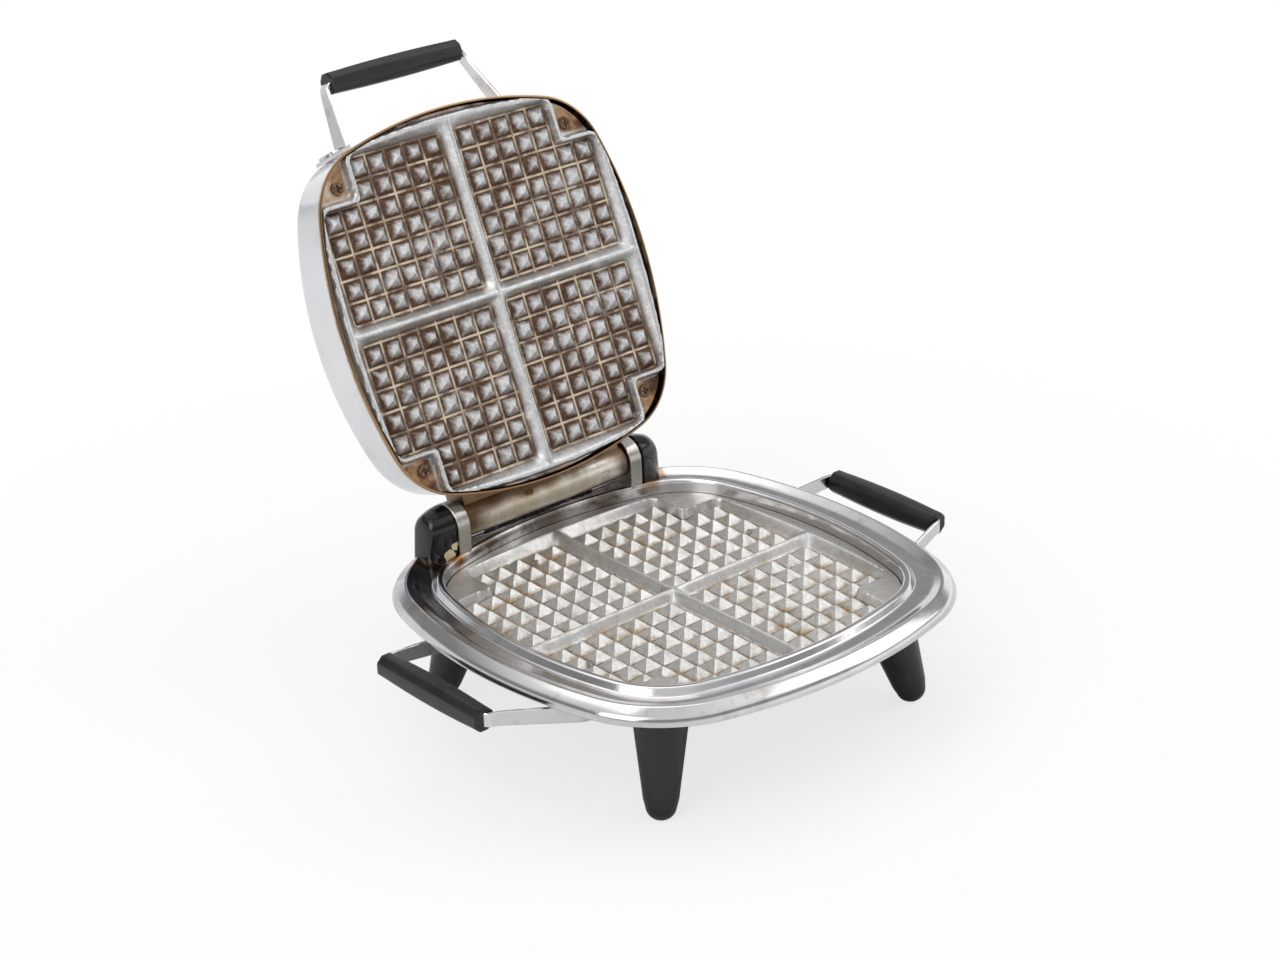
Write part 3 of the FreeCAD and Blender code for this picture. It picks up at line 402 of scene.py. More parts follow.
def grid_plate(reach, sunken, half):
    """One casting without its pyramids: a fine square net, drawn out to the round outline."""
    steps = 300
    u = np.linspace(-1, 1, steps)
    U, V = np.meshgrid(u, u, indexing="xy")
    k = np.maximum(np.abs(U), np.abs(V))
    angle = np.arctan2(V, U)
    ring = plan_outline(half, 60, 60)
    ring_angle = np.arctan2(ring[:, 1], ring[:, 0])
    order = np.argsort(ring_angle)
    rim_radius = np.interp(angle, ring_angle[order], np.hypot(*ring[order].T), period=2 * math.pi)
    plain = np.stack([U, V], -1) * half
    length = np.maximum(np.hypot(U, V), 1e-9)
    curved = np.stack([U, V], -1) / length[..., None] * (rim_radius * k)[..., None]
    w = smooth_step(k, 0.72, 1.0)[..., None]
    xy = plain * (1 - w) + curved * w
    x, y = xy[..., 0].ravel(), xy[..., 1].ravel()
    z, foot, outline = plate_surface(x, y, reach, sunken)
    points = np.c_[x, y, z]
    marks = np.c_[foot, outline]
    faces = grid_faces(steps, steps)
    edge = list(range(steps)) + [r * steps + steps - 1 for r in range(1, steps)]
    edge += [(steps - 1) * steps + c for c in range(steps - 2, -1, -1)]
    edge += [r * steps for r in range(steps - 2, 0, -1)]
    first = len(points)
    below = points[edge].copy()
    below[:, 2] = PLATE_BACK
    points = np.vstack([points, below])
    marks = np.vstack([marks, marks[edge]])
    n = len(edge)
    faces += [[edge[i], edge[(i + 1) % n], first + (i + 1) % n, first + i] for i in range(n)]
    faces.append([first + i for i in range(n)])
    return points, faces, marks


def tooth_tree(material):
    """Node tree that sets four fields of cast pyramids, each a little off true, and its settings."""
    tree = bpy.data.node_groups.new("pyramid fields", "GeometryNodeTree")
    settings = {}
    for label, kind, value in (
        ("Pitch", "Float", PITCH), ("First Valley", "Float", FIRST_VALLEY),
        ("Cells", "Int", CELLS), ("Notch Cells", "Int", NOTCH_CELLS),
        ("Base Width", "Float", TOOTH_BASE), ("Top Width", "Float", TOOTH_TOP),
        ("Base Level", "Float", VALLEY - TOOTH_SINK),
        ("Height", "Float", APEX - VALLEY + TOOTH_SINK),
        ("Wobble", "Float", 0.03), ("Seed", "Int", 7),
    ):
        socket = tree.interface.new_socket(label, in_out="INPUT", socket_type="NodeSocket" + kind)
        socket.default_value = value
        settings[socket.identifier] = value
    tree.interface.new_socket("Geometry", in_out="OUTPUT", socket_type="NodeSocketGeometry")
    enter, leave = tree.nodes.new("NodeGroupInput"), tree.nodes.new("NodeGroupOutput")
    size = enter.outputs

    def add(kind, values=None, output=0, **options):
        """Adds a node, joins or sets its inputs and gives back one of its outputs."""
        made = tree.nodes.new(kind)
        for key, value in options.items():
            setattr(made, key, value)
        for key, value in (values or {}).items():
            if isinstance(value, bpy.types.NodeSocket):
                tree.links.new(value, made.inputs[key])
            else:
                made.inputs[key].default_value = value
        return made.outputs[output]

    def sum_of(operation, a, b=0.0):
        return add("ShaderNodeMath", {0: a, 1: b}, operation=operation)

    def past(value, limit):
        return add("FunctionNodeCompare", {0: value, 1: limit}, operation="GREATER_THAN")

    pitch, cells, seed = size["Pitch"], size["Cells"], size["Seed"]
    span = sum_of("MULTIPLY", pitch, sum_of("SUBTRACT", cells, 1.0))
    half_span = sum_of("MULTIPLY", span, 0.5)
    grid = {"Size X": span, "Size Y": span, "Vertices X": cells, "Vertices Y": cells}
    field = add("GeometryNodeMeshGrid", grid, "Mesh")
    place = add("GeometryNodeInputPosition")
    x, y = (add("ShaderNodeSeparateXYZ", {0: place}, axis) for axis in ("X", "Y"))
    notch = sum_of("MULTIPLY", pitch, sum_of("SUBTRACT", size["Notch Cells"], 0.5))
    limit = sum_of("SUBTRACT", notch, half_span)
    corner = add("FunctionNodeBooleanMath", {0: past(x, limit), 1: past(y, limit)}, operation="AND")
    field = add("GeometryNodeDeleteGeometry", {"Geometry": field, "Selection": corner}, domain="POINT")
    middle = sum_of("ADD", size["First Valley"], sum_of("MULTIPLY", pitch, 0.5))
    middle = sum_of("ADD", middle, half_span)
    shift = add("ShaderNodeCombineXYZ", {"X": middle, "Y": middle, "Z": size["Base Level"]})
    field = add("GeometryNodeTransform", {"Geometry": field, "Translation": shift})
    four_fields = tree.nodes.new("GeometryNodeJoinGeometry")
    for turn in range(4):
        quarter = {"Geometry": field, "Rotation": (0.0, 0.0, turn * math.pi / 2)}
        tree.links.new(add("GeometryNodeTransform", quarter), four_fields.inputs[0])
    root2 = math.sqrt(2) / 2
    cone = {
        "Vertices": 4, "Depth": size["Height"],
        "Radius Top": sum_of("MULTIPLY", size["Top Width"], root2),
        "Radius Bottom": sum_of("MULTIPLY", size["Base Width"], root2)}
    tooth = add("GeometryNodeMeshCone", cone, "Mesh")
    tooth = add("GeometryNodeTransform", {"Geometry": tooth, "Rotation": (0.0, 0.0, math.pi / 4)})
    lean = {0: (-0.02, -0.02, -0.03), 1: (0.02, 0.02, 0.03), "Seed": seed}
    grow = {2: sum_of("SUBTRACT", 1.0, size["Wobble"]), 3: 1.0, "Seed": seed}
    each = {
        "Points": four_fields.outputs[0], "Instance": tooth,
        "Rotation": add("FunctionNodeRandomValue", lean, data_type="FLOAT_VECTOR"),
        "Scale": add("FunctionNodeRandomValue", grow, 1, data_type="FLOAT")}
    teeth = add("GeometryNodeInstanceOnPoints", each)
    solid = add("GeometryNodeRealizeInstances", {"Geometry": teeth})
    done = add("GeometryNodeSetMaterial", {"Geometry": solid, "Material": material})
    tree.links.new(done, leave.inputs[0])
    return tree, settings


def mark_plan(mesh, P, marks):
    """Keeps each point's place in the mould and its distance from field and outline."""
    attribute = mesh.attributes.new("mould_place", "FLOAT_VECTOR", "POINT")
    attribute.data.foreach_set("vector", (P * MM).astype(np.float32).ravel())
    for i, name in enumerate(("from_field", "from_outline")):
        attribute = mesh.attributes.new(name, "FLOAT", "POINT")
        attribute.data.foreach_set("value", marks[:, i].astype(np.float32))


def bake_teeth(material):
    """Points, faces and marks of the pyramids, with their edges softened."""
    holder = bpy.data.objects.new("teeth maker", bpy.data.meshes.new("teeth maker"))
    bpy.context.scene.collection.objects.link(holder)
    maker = holder.modifiers.new("fields", "NODES")
    maker.node_group, settings = tooth_tree(material)
    for identifier, value in settings.items():
        maker[identifier] = value
    soften = holder.modifiers.new("soften", "BEVEL")
    soften.width, soften.segments = 0.22, 1
    soften.limit_method, soften.angle_limit = "ANGLE", math.radians(25)
    baked = bpy.data.meshes.new_from_object(holder.evaluated_get(bpy.context.evaluated_depsgraph_get()))
    bpy.data.objects.remove(holder)
    P = np.zeros(len(baked.vertices) * 3)
    baked.vertices.foreach_get("co", P)
    P = P.reshape(-1, 3)
    deep_inside = np.tile((-3.0, -9.0), (len(P), 1))
    return P, [list(p.vertices) for p in baked.polygons], deep_inside


def casting_finish(name, grease, seam_colour, seam_share, metal, dark_metal, crust, crust_light, edge_stain):
    """Cast aluminium with grease baked between the pyramids and rust along the edge."""
    f = Finish(name)
    mould = f.mark("mould_place", "Vector")
    apart = f.split(mould)
    fine = f.noise(800.0, 6.0, 0.7, at=mould)
    mid = f.noise(150.0, 7.0, 0.68, at=mould)
    wide = f.noise(26.0, 5.0, 0.6, at=mould)
    near = []
    for axis in ("X", "Y"):
        way = f.minus(f.sum("ABSOLUTE", apart[axis]), FIRST_VALLEY * MM)
        way = f.ragged(f.sum("DIVIDE", way, PITCH * MM), mid, 0.05)
        past_valley = f.minus(f.sum("FRACT", f.plus(way, 0.5)), 0.5)
        near.append(f.sum("ABSOLUTE", past_valley))
    lift = f.sum("DIVIDE", f.minus(apart["Z"], VALLEY * MM), (APEX - VALLEY) * MM)
    clean = f.blend(f.ramp(fine, (0.35, 0.0), (0.7, 1.0)), metal, dark_metal)
    clean = f.blend(f.ramp(mid, (0.45, 0.0), (0.75, 0.6)), clean, tuple(c * 0.8 for c in dark_metal))
    from_field = f.plus(f.times(f.mark("from_field"), 0.2), f.times(mid, 0.35))
    in_field = f.ramp(from_field, (0.20, 1.0), (0.62, 0.0))
    low = f.ramp(lift, (0.0, 1.0), (0.35, 0.62), (0.75, 0.22), (1.0, 0.0))
    burnt = f.plus(f.times(low, 0.62), f.times(mid, 1.0))
    burnt = f.plus(burnt, f.times(wide, 0.75))
    burnt = f.ramp(f.minus(burnt, 1.52 - grease), (0.0, 0.0), (0.34, 1.0))
    burnt = f.times(burnt, in_field)
    skin = f.blend(f.ramp(fine, (0.36, 0.0), (0.62, 1.0)), crust, crust_light)
    colour = f.blend(burnt, clean, skin)
    seam = f.ramp(f.sum("MINIMUM", near[0], near[1]), (0.028, 1.0), (0.07, 0.0))
    seam = f.times(seam, f.ramp(lift, (0.06, 1.0), (0.2, 0.0)))
    broken = f.ramp(f.noise(95.0, 5.0, 0.6, at=mould), (0.42, seam_share), (0.58, seam_share * 0.15))
    seam = f.times(f.times(seam, in_field), broken)
    colour = f.blend(seam, colour, seam_colour)
    patches = f.times(f.plus(mid, wide), 0.55)
    rim = f.plus(f.times(f.mark("from_outline"), 0.16), patches)
    rim = f.times(f.ramp(rim, (0.72, 0.0), (1.0, 1.0)), edge_stain)
    rust = f.ramp(
        f.noise(60.0, 7.0, 0.7, at=mould), (0.38, (0.045, 0.018, 0.010)), (0.47, (0.26, 0.12, 0.05)),
        (0.56, (0.52, 0.33, 0.17)), (0.66, (0.70, 0.60, 0.46)))
    colour = f.blend(rim, colour, rust)
    lumps = f.times(mid, f.plus(burnt, 0.35))
    f.bump(f.plus(f.times(fine, 0.7), lumps), 0.00022, 0.8)
    dirt = f.times(f.sum("MAXIMUM", burnt, rim), 0.72)
    gloss = f.ramp(mid, (0.35, 0.30), (0.7, 0.46))
    return f.set(Base_Color=colour, Metallic=f.minus(0.92, dirt), Roughness=gloss)


def turned_over(P):
    """The upper casting is the lower one turned over, face to face with it."""
    return np.c_[P[:, 0], -P[:, 1], 2 * MIRROR_LEVEL - P[:, 2]]


scrubbed = casting_finish(
    "scrubbed casting", grease=0.20, seam_colour=(0.10, 0.07, 0.045), seam_share=0.7,
    metal=(0.70, 0.69, 0.665), dark_metal=(0.50, 0.49, 0.465),
    crust=(0.16, 0.10, 0.05), crust_light=(0.46, 0.31, 0.13), edge_stain=0.10)
burnt_on = casting_finish(
    "burnt casting", grease=0.50, seam_colour=(0.80, 0.68, 0.50), seam_share=0.95,
    metal=(0.80, 0.80, 0.79), dark_metal=(0.52, 0.52, 0.515),
    crust=(0.040, 0.017, 0.008), crust_light=(0.15, 0.075, 0.034), edge_stain=1.0)
# The lower flange runs out to the tray's wall, the upper one to the lid's.
for place, node_name, body, finish, reach, sunken, half in (
    ("lower", "lower_grid", "base", scrubbed, 78.2, 0.0, 82.25),
    ("upper", "upper_grid", "lid", burnt_on, 77.6, 3.9, 80.2),
):
    plate = grid_plate(reach, sunken, half)
    teeth = bake_teeth(finish)
    for part, (P, faces, marks), sharp in (("plate", plate, 50.0), ("pyramids", teeth, 20.0)):
        final = turned_over(P) if place == "upper" else P
        piece = make_piece(place + "_grid_" + part, final, faces, sharp, opened=place == "upper")
        mark_plan(piece.data, P, marks)
        piece.data.materials.append(finish)
        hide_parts(node_name)
        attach(piece, body)


# Legs. Moulded black phenolic cones with a rounded tip, splayed along the diagonals
# and pulled up against the pan by a screw from inside.
def moulded(name, colour, gloss_low, gloss_high, dust, chips=()):
    """Phenolic moulding with a cloudy gloss, dust in its scuffs and pale chips."""
    dusty, chipped = (0.22, 0.21, 0.20), (0.66, 0.56, 0.36)
    f = Finish(name)
    cloud = f.noise(90.0, 6.0, 0.6)
    pit = f.noise(1400.0, 3.0, 0.6)
    scuff = f.ramp(f.noise(260.0, 5.0, 0.7, stretch=(1.0, 1.0, 0.2)), (0.60, 0.0), (0.72, dust))
    tone = f.blend(f.ramp(cloud, (0.35, 0.0), (0.7, 1.0)), colour, tuple(c * 1.7 for c in colour))
    f.bump(f.plus(pit, f.times(cloud, 0.5)), 0.00003, 0.6)
    tone = f.blend(scuff, tone, dusty)
    for centre, size in chips:
        away = f.ragged(f.sum("DIVIDE", f.away_from(centre), size), f.noise(420.0, 3.0), 1.6)
        tone = f.blend(f.ramp(away, (0.78, 1.0), (0.84, 0.0)), tone, chipped)
    return f.set(Base_Color=tone, Roughness=f.ramp(cloud, (0.3, gloss_low), (0.75, gloss_high)))


satin_moulding = moulded("satin moulding", (0.0055, 0.0055, 0.006), 0.26, 0.40, 0.05)
LEG_TOP, LEG_FOOT = np.array((61.5, 61.5, 41.0)), np.array((70.5, 70.5, 0.0))
LEG_TOP_RADIUS, LEG_TIP_RADIUS, LEG_SIDES = 11.6, 6.9, 64
TIP_BEND, TIP_START, TIP_FLAT = 6.0, -0.6, 0.3
axis = (LEG_TOP - LEG_FOOT) / np.linalg.norm(LEG_TOP - LEG_FOOT)
side = np.cross(axis, (0, 0, 1.0))
side /= np.linalg.norm(side)
other = np.cross(axis, side)
length = np.linalg.norm(LEG_TOP - LEG_FOOT)
slope = (LEG_TOP_RADIUS - LEG_TIP_RADIUS) / (length - TIP_BEND)
bend = np.linspace(0, math.pi / 2 - math.atan(slope), 12)
rings = [(TIP_START, 0.0)]
rings += [(TIP_START + TIP_BEND * (1 - math.cos(a)), TIP_FLAT + TIP_BEND * math.sin(a)) for a in bend]
rings += [(t, LEG_TIP_RADIUS + slope * (t - TIP_BEND)) for t in np.linspace(8.0, length + 5.0, 16)]
turns = np.linspace(0, 2 * math.pi, LEG_SIDES, endpoint=False)
P = []
for t, r in rings:
    ring = LEG_FOOT + axis * t + r * (np.cos(turns)[:, None] * side + np.sin(turns)[:, None] * other)
    over = np.maximum(ring[:, 2] - LEG_TOP[2], 0) / axis[2]
    ring = ring - over[:, None] * axis
    ring[:, 2] = np.maximum(ring[:, 2], 0.0)
    P.append(ring)
P.append(np.tile(LEG_TOP, (LEG_SIDES, 1)))
P = np.vstack(P)
leg_faces = grid_faces(len(rings) + 1, LEG_SIDES, False, True)
for name, sx, sy in (
    ("leg_front_left", -1, -1), ("leg_front_right", 1, -1),
    ("leg_back_left", -1, 1), ("leg_back_right", 1, 1),
):
    leg = make_piece(name + "_moulding", P * np.array((sx, sy, 1)), leg_faces, 40.0)
    welder = bmesh.new()
    welder.from_mesh(leg.data)
    bmesh.ops.remove_doubles(welder, verts=welder.verts, dist=1e-6)
    bmesh.ops.recalc_face_normals(welder, faces=welder.faces)
    welder.to_mesh(leg.data)
    welder.free()
    leg.data.materials.append(satin_moulding)
    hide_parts(name)
    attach(leg, "base")


# Handle straps. Plated steel strip on edge, bent round and riveted by its ends. Each one
# is wide where it is fixed and narrows to the slot of its grip.
STRIP_HALF, STRIP_BEVEL, STRIP_BEND, STRIP_STEP = 0.75, 0.35, 3.2, 3.0
STRAP_END_X, STRAP_END_Y, STRAP_BEND_Y, SIDE_GRIP_X = 60.0, 48.0, 32.6, 124.6
PAN_LEDGE, TAB_SHEET, TAB_LENGTH = 41.0, 1.5, 11.0


def bevelled(x0, x1, z0, z1, bevel):
    """A rectangle with its four corners cut off."""
    return [
        (x0, z0 + bevel), (x0 + bevel, z0), (x1 - bevel, z0), (x1, z0 + bevel),
        (x1, z1 - bevel), (x1 - bevel, z1), (x0 + bevel, z1), (x0, z1 - bevel)]


def strap(name, line, edges, opened, extras=()):
    """line is the strip seen from above; edges gives low and high edge at each point."""
    path, normal = bent_line(line, [STRIP_BEND, STRIP_BEND], 8)
    fine, fine_normal = [], []
    for a, b, m, n in zip(path[:-1], path[1:], normal[:-1], normal[1:]):
        count = max(1, int(np.linalg.norm(b - a) / STRIP_STEP))
        for k in range(count):
            fine.append(a + (b - a) * k / count)
            fine_normal.append(m + (n - m) * k / count)
    fine.append(path[-1])
    fine_normal.append(normal[-1])
    rows = []
    for p, n in zip(fine, fine_normal):
        n = n / np.linalg.norm(n)
        low, high = edges(p)
        loop = bevelled(-STRIP_HALF, STRIP_HALF, low, high, STRIP_BEVEL)
        rows.append([(p[0] + n[0] * a, p[1] + n[1] * a, z) for a, z in loop])
    P = np.array(rows).reshape(-1, 3)
    faces = tube_faces(len(rows), 8)
    for more, more_faces in extras:
        faces += [[i + len(P) for i in face] for face in more_faces]
        P = np.vstack([P, more])
    piece = make_piece(name, P, faces, 30.0, opened)
    piece.data.materials.append(strap_plating)
    return piece


def plate_box(x0, y0, z0, x1, y1, z1, r=0.4):
    """A small plate with bevelled edges."""
    P = []
    for z, inset in ((z0, r), (z0 + r, 0), (z1 - r, 0), (z1, r)):
        a, b, c, d = x0 + inset, x1 - inset, y0 + inset, y1 - inset
        P += [(a + r, c, z), (b - r, c, z), (b, c + r, z), (b, d - r, z)]
        P += [(b - r, d, z), (a + r, d, z), (a, d - r, z), (a, c + r, z)]
    return np.array(P), tube_faces(4, 8)


strap_plating = plated("strap plating", (0.72, 0.72, 0.73), (0.58, 0.57, 0.56), 0.10, 0.26, 0.5)


def side_edges(p):
    """Low and high edge of a side strap, which rises from the pan to its grip."""
    x = abs(p[0])
    return np.interp(x, (84.6, 120.6), (37.2, 46.1)), np.interp(x, (82.4, 84.6, 120.6), (41.0, 44.9, 52.1))


tabs = [
    plate_box(STRAP_END_X, near, PAN_LEDGE - TAB_SHEET, STRAP_END_X + TAB_LENGTH, far, PAN_LEDGE)
    for near, far in ((36.75, 47.25), (-47.25, -36.75))]
for name, sign in (("right", 1), ("left", -1)):
    line = [
        (STRAP_END_X * sign, -STRAP_END_Y), (SIDE_GRIP_X * sign, -STRAP_BEND_Y),
        (SIDE_GRIP_X * sign, STRAP_BEND_Y), (STRAP_END_X * sign, STRAP_END_Y)]
    side_tabs = [(points * np.array((sign, 1, 1)), faces) for points, faces in tabs]
    piece = strap(name + "_handle_strip", line, side_edges, False, side_tabs)
    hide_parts(name + "_handle_strap")
    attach(piece, "base")


# Grips. Black phenolic mouldings with a six sided feel: flat faces, wide chamfers and a
# slight crown along the length, slotted for the strap.
GRIP_HALF_WIDTH, GRIP_HALF_HEIGHT, GRIP_CROWN, GRIP_CHAMFER = 4.5, 4.8, 0.65, 2.6
GRIP_ROUNDING, GRIP_ROWS, GRIP_LOOP = 0.5, 25, 24


def grip(name, length, place, opened, along_x):
    """A grip with its middle at place; its corners and both its ends are rounded off."""
    P = []
    for i in range(GRIP_ROWS):
        s = -1 + 2 * i / (GRIP_ROWS - 1)
        swell = GRIP_CROWN * (1 - s * s)
        end = GRIP_ROUNDING if i in (0, GRIP_ROWS - 1) else 0.0
        w, h, cut = GRIP_HALF_WIDTH + swell - end, GRIP_HALF_HEIGHT + swell - end, GRIP_CHAMFER
        corners = [
            (w, h - cut), (w - cut, h), (-w + cut, h), (-w, h - cut),
            (-w, -h + cut), (-w + cut, -h), (w - cut, -h), (w, -h + cut)]
        for k in range(8):
            a, b, c = (np.array(corners[(k + d) % 8]) for d in (-1, 0, 1))
            before = b + (a - b) / np.linalg.norm(a - b) * GRIP_ROUNDING
            after = b + (c - b) / np.linalg.norm(c - b) * GRIP_ROUNDING
            P += [(x, s * length / 2, z) for x, z in (before, b * 0.985, after)]
    P = np.array(P)
    P[GRIP_LOOP:2 * GRIP_LOOP, 1] = -length / 2 + GRIP_ROUNDING
    P[-2 * GRIP_LOOP:-GRIP_LOOP, 1] = length / 2 - GRIP_ROUNDING
    if along_x:
        P = np.c_[P[:, 1], P[:, 0], P[:, 2]]
    piece = make_piece(name, P + np.array(place), tube_faces(GRIP_ROWS, GRIP_LOOP), 28.0, opened)
    piece.data.materials.append(satin_moulding)
    return piece


for name, sign in (("right", 1), ("left", -1)):
    piece = grip(name + "_grip_moulding", 63.0, (SIDE_GRIP_X * sign, 0.0, 49.1), False, False)
    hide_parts(name + "_handle_grip")
    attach(piece, "base")


# Lid shell. Drawn and plated steel dome with a rolled edge that holds the upper casting.
# Its wall leans in to the shoulder, where it bends over into a slightly round crown.
CROWN_TOP, CROWN_RADIUS = 91.0, 351.0
LID_EDGE, LID_SHOULDER, SHOULDER_BEND, CROWN_EDGE = (81.8, 52.2), (79.2, 80.0), 9.0, 70.0
LID_SHEET, LID_DRAFT = 0.8, (81.8 - 79.2) / (80.0 - 52.2)


def crown_level(reach):
    return CROWN_TOP - CROWN_RADIUS + np.sqrt(CROWN_RADIUS ** 2 - reach ** 2)


def dome_ring(half, level, skin=0.0):
    """One ring of the dome; towards the top its level follows the round crown."""
    xy = plan_outline(half)
    lift = smooth_step(np.full(len(xy), level), 60.0, 78.0)
    return np.c_[xy, level + lift * (crown_level(np.hypot(*xy.T)) - crown_level(half)) - skin]


wall_line = [LID_EDGE, LID_SHOULDER, (CROWN_EDGE, float(crown_level(CROWN_EDGE)))]
wall, _ = bent_line(wall_line, [SHOULDER_BEND], 14)
outer = [(81.3, 51.9)] + [tuple(p) for p in wall]
outer += [(half, float(crown_level(half))) for half in np.linspace(66.0, 2.0, 20)]
inner = []
for half, level in reversed(outer[1:]):
    inset = LID_SHEET if level < LID_SHOULDER[1] else LID_SHEET * half / 82
    skin = LID_SHEET * min(1.0, max(0.0, (level - 70) / 10))
    inner.append((max(half - inset, 1.5), level, skin))
rings = [dome_ring(half, level) for half, level in outer]
rings += [dome_ring(half, level, skin) for half, level, skin in inner]
rings.append(dome_ring(80.9, 52.0))
ring_size, top_ring = len(rings[0]), len(outer) - 1
under_top = top_ring + 1
# The faces between the two topmost rings go, and each of the two is closed by one face.
faces = [
    face for face in grid_faces(len(rings), ring_size, True, True)
    if not (min(face) // ring_size == top_ring and max(face) // ring_size == under_top)]
faces += [[ring * ring_size + i for i in range(ring_size)] for ring in (top_ring, under_top)]
shell = make_piece("lid_dome", np.vstack(rings), faces, 50.0, True)
mark_plan(shell.data, np.vstack(rings), np.zeros((len(rings) * ring_size, 2)))
dome_plating = plated(
    "dome plating", (0.80, 0.805, 0.82), (0.70, 0.70, 0.71), 0.05, 0.16, 0.15, edge_level=52.3)
shell.data.materials.append(dome_plating)
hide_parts("lid_shell")
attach(shell, "lid")


# Lid handle. The same strip and moulding as at the sides, riveted by two tabs to the
# front of the dome and raised towards its crown.
LID_GRIP_Y, TAB_LOW, TAB_HIGH = -104.4, 66.6, 76.0


def lid_edges(p):
    """Low and high edge of the lid strap, which rises from the dome to its grip."""
    y = -p[1]
    return np.interp(y, (76.8, 100.4), (TAB_LOW, 77.0)), np.interp(y, (76.8, 100.4), (TAB_HIGH, 83.0))


def wall_tab(sign):
    """End of the strip, lying against the dome's bulged and leaning front."""
    P = []
    for x in np.linspace(41.0, 53.9, 7):
        for level in (TAB_LOW, TAB_HIGH):
            half = LID_EDGE[0] - (level - LID_EDGE[1]) * LID_DRAFT
            for lift in (0.05, 1.5):
                radius = SIDE_CENTRE + half + lift
                P.append((sign * x, SIDE_CENTRE - math.sqrt(radius ** 2 - x ** 2), level))
    faces = []
    for i in range(6):
        a = i * 4
        for p, q in ((0, 1), (1, 3), (3, 2), (2, 0)):
            faces.append([a + p, a + q, a + 4 + q, a + 4 + p])
    return np.array(P), faces + [[0, 1, 3, 2], [24, 25, 27, 26]]


line = [(-42.4, -76.8), (-35.6, LID_GRIP_Y), (35.6, LID_GRIP_Y), (42.4, -76.8)]
lid_strip = strap("lid_handle_strip", line, lid_edges, True, [wall_tab(-1), wall_tab(1)])
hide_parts("lid_handle_strap")
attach(lid_strip, "lid")
lid_grip = grip("lid_grip_moulding", 69.0, (0.0, LID_GRIP_Y, 80.0), True, True)
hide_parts("lid_handle_grip")
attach(lid_grip, "lid")


# Hinge brackets. A plated band bent over each end of the barrel, with an inner plate
# that carries the pin; the feet stand on the tray's bead and channel.
BAND_NEAR, BAND_FAR, BAND_LOW, BAND_HIGH, BAND_BEVEL = 44.6, 50.9, 8.2, 9.4, 0.3
PLATE_RADIUS, PLATE_SHEET, FOOT_SINK = 8.4, 1.2, 0.3
bracket_plating = plated("bracket plating", (0.50, 0.48, 0.45), (0.34, 0.30, 0.26), 0.20, 0.38, 1.0)
angles = np.linspace(0, math.pi, 25)
band_section = bevelled(BAND_NEAR, BAND_FAR, BAND_LOW, BAND_HIGH, BAND_BEVEL)
stations = [(drop, 0.0) for drop in np.linspace(1, 0.05, 5)]
stations += [(0.0, a) for a in angles]
stations += [(drop, math.pi) for drop in np.linspace(0.05, 1, 5)]
for name, sign in (("left", -1), ("right", 1)):
    P = []
    for drop, a in stations:
        for x, r in band_section:
            y, z = HINGE_Y - r * math.cos(a), HINGE_LEVEL + r * math.sin(a)
            if drop:
                z = HINGE_LEVEL + (float(tray_top(x, y)) - FOOT_SINK - HINGE_LEVEL) * drop
            P.append((sign * x, y, z))
    faces = tube_faces(len(stations), len(band_section))
    start, side_points = len(P), len(angles) + 9
    for x in (BAND_NEAR, BAND_NEAR + PLATE_SHEET):
        for a in angles:
            y, z = HINGE_Y - PLATE_RADIUS * math.cos(a), HINGE_LEVEL + PLATE_RADIUS * math.sin(a)
            P.append((sign * x, y, z))
        for y in np.linspace(HINGE_Y + PLATE_RADIUS, HINGE_Y - PLATE_RADIUS, 9):
            P.append((sign * x, y, float(tray_top(x, y)) - FOOT_SINK))
    faces += [[start + i for i in face] for face in tube_faces(2, side_points)]
    band = make_piece("hinge_band_" + name, P, faces, 30.0)
    band.data.materials.append(bracket_plating)
    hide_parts("hinge_bracket_" + name)
    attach(band, "base")


# Hinge caps. Glossy black phenolic plugs that close the bands and taper outward; their
# flat lower side follows the tray. The left one is chipped beside the band.
CAP_PROFILE = [
    (50.95, 8.3), (51.9, 8.3), (52.0, 9.0), (52.5, 9.3), (56.0, 8.75),
    (59.0, 7.95), (61.2, 7.1), (62.5, 6.2), (63.2, 5.2), (63.5, 4.0)]
CAP_TIP_RADIUS, CAP_DROOP, CAP_CLEARANCE, CAP_TIP_START = 6.9, 0.4, 0.1, 57
cap_chips = (((-0.0560, 0.0396, 0.0572), 0.0034), ((-0.0528, 0.0394, 0.0610), 0.0024))
cap_moulding = moulded("glossy moulding", (0.004, 0.004, 0.0045), 0.06, 0.14, 0.03, cap_chips)
for name, sign in (("left", -1), ("right", 1)):
    rows = []
    for x, r in CAP_PROFILE:
        level = HINGE_LEVEL - max(0.0, CAP_TIP_RADIUS - r) * CAP_DROOP
        front, rear = HINGE_Y - r, HINGE_Y + r
        loop = [(HINGE_Y - r * math.cos(a), level + r * math.sin(a)) for a in np.linspace(0, math.pi, 21)]
        below = [(rear, k) for k in np.linspace(0.15, 1, 5)]
        below += [(y, 1.0) for y in np.linspace(rear, front, 9)[1:-1]]
        below += [(front, k) for k in np.linspace(1, 0.15, 5)]
        for y, k in below:
            floor_level = float(tray_top(x, y)) + CAP_CLEARANCE
            loop.append((y, HINGE_LEVEL + (floor_level - HINGE_LEVEL) * k))
        lean = 0.9 / 13 if x > CAP_TIP_START else 0.0
        rows.append([(sign * (x + lean * (HINGE_LEVEL - z)), y, z) for y, z in loop])
    faces = tube_faces(len(rows), len(rows[0]))
    cap = make_piece("hinge_plug_" + name, np.array(rows).reshape(-1, 3), faces, 32.0)
    cap.data.materials.append(cap_moulding)
    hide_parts("hinge_cap_" + name)
    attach(cap, "base")


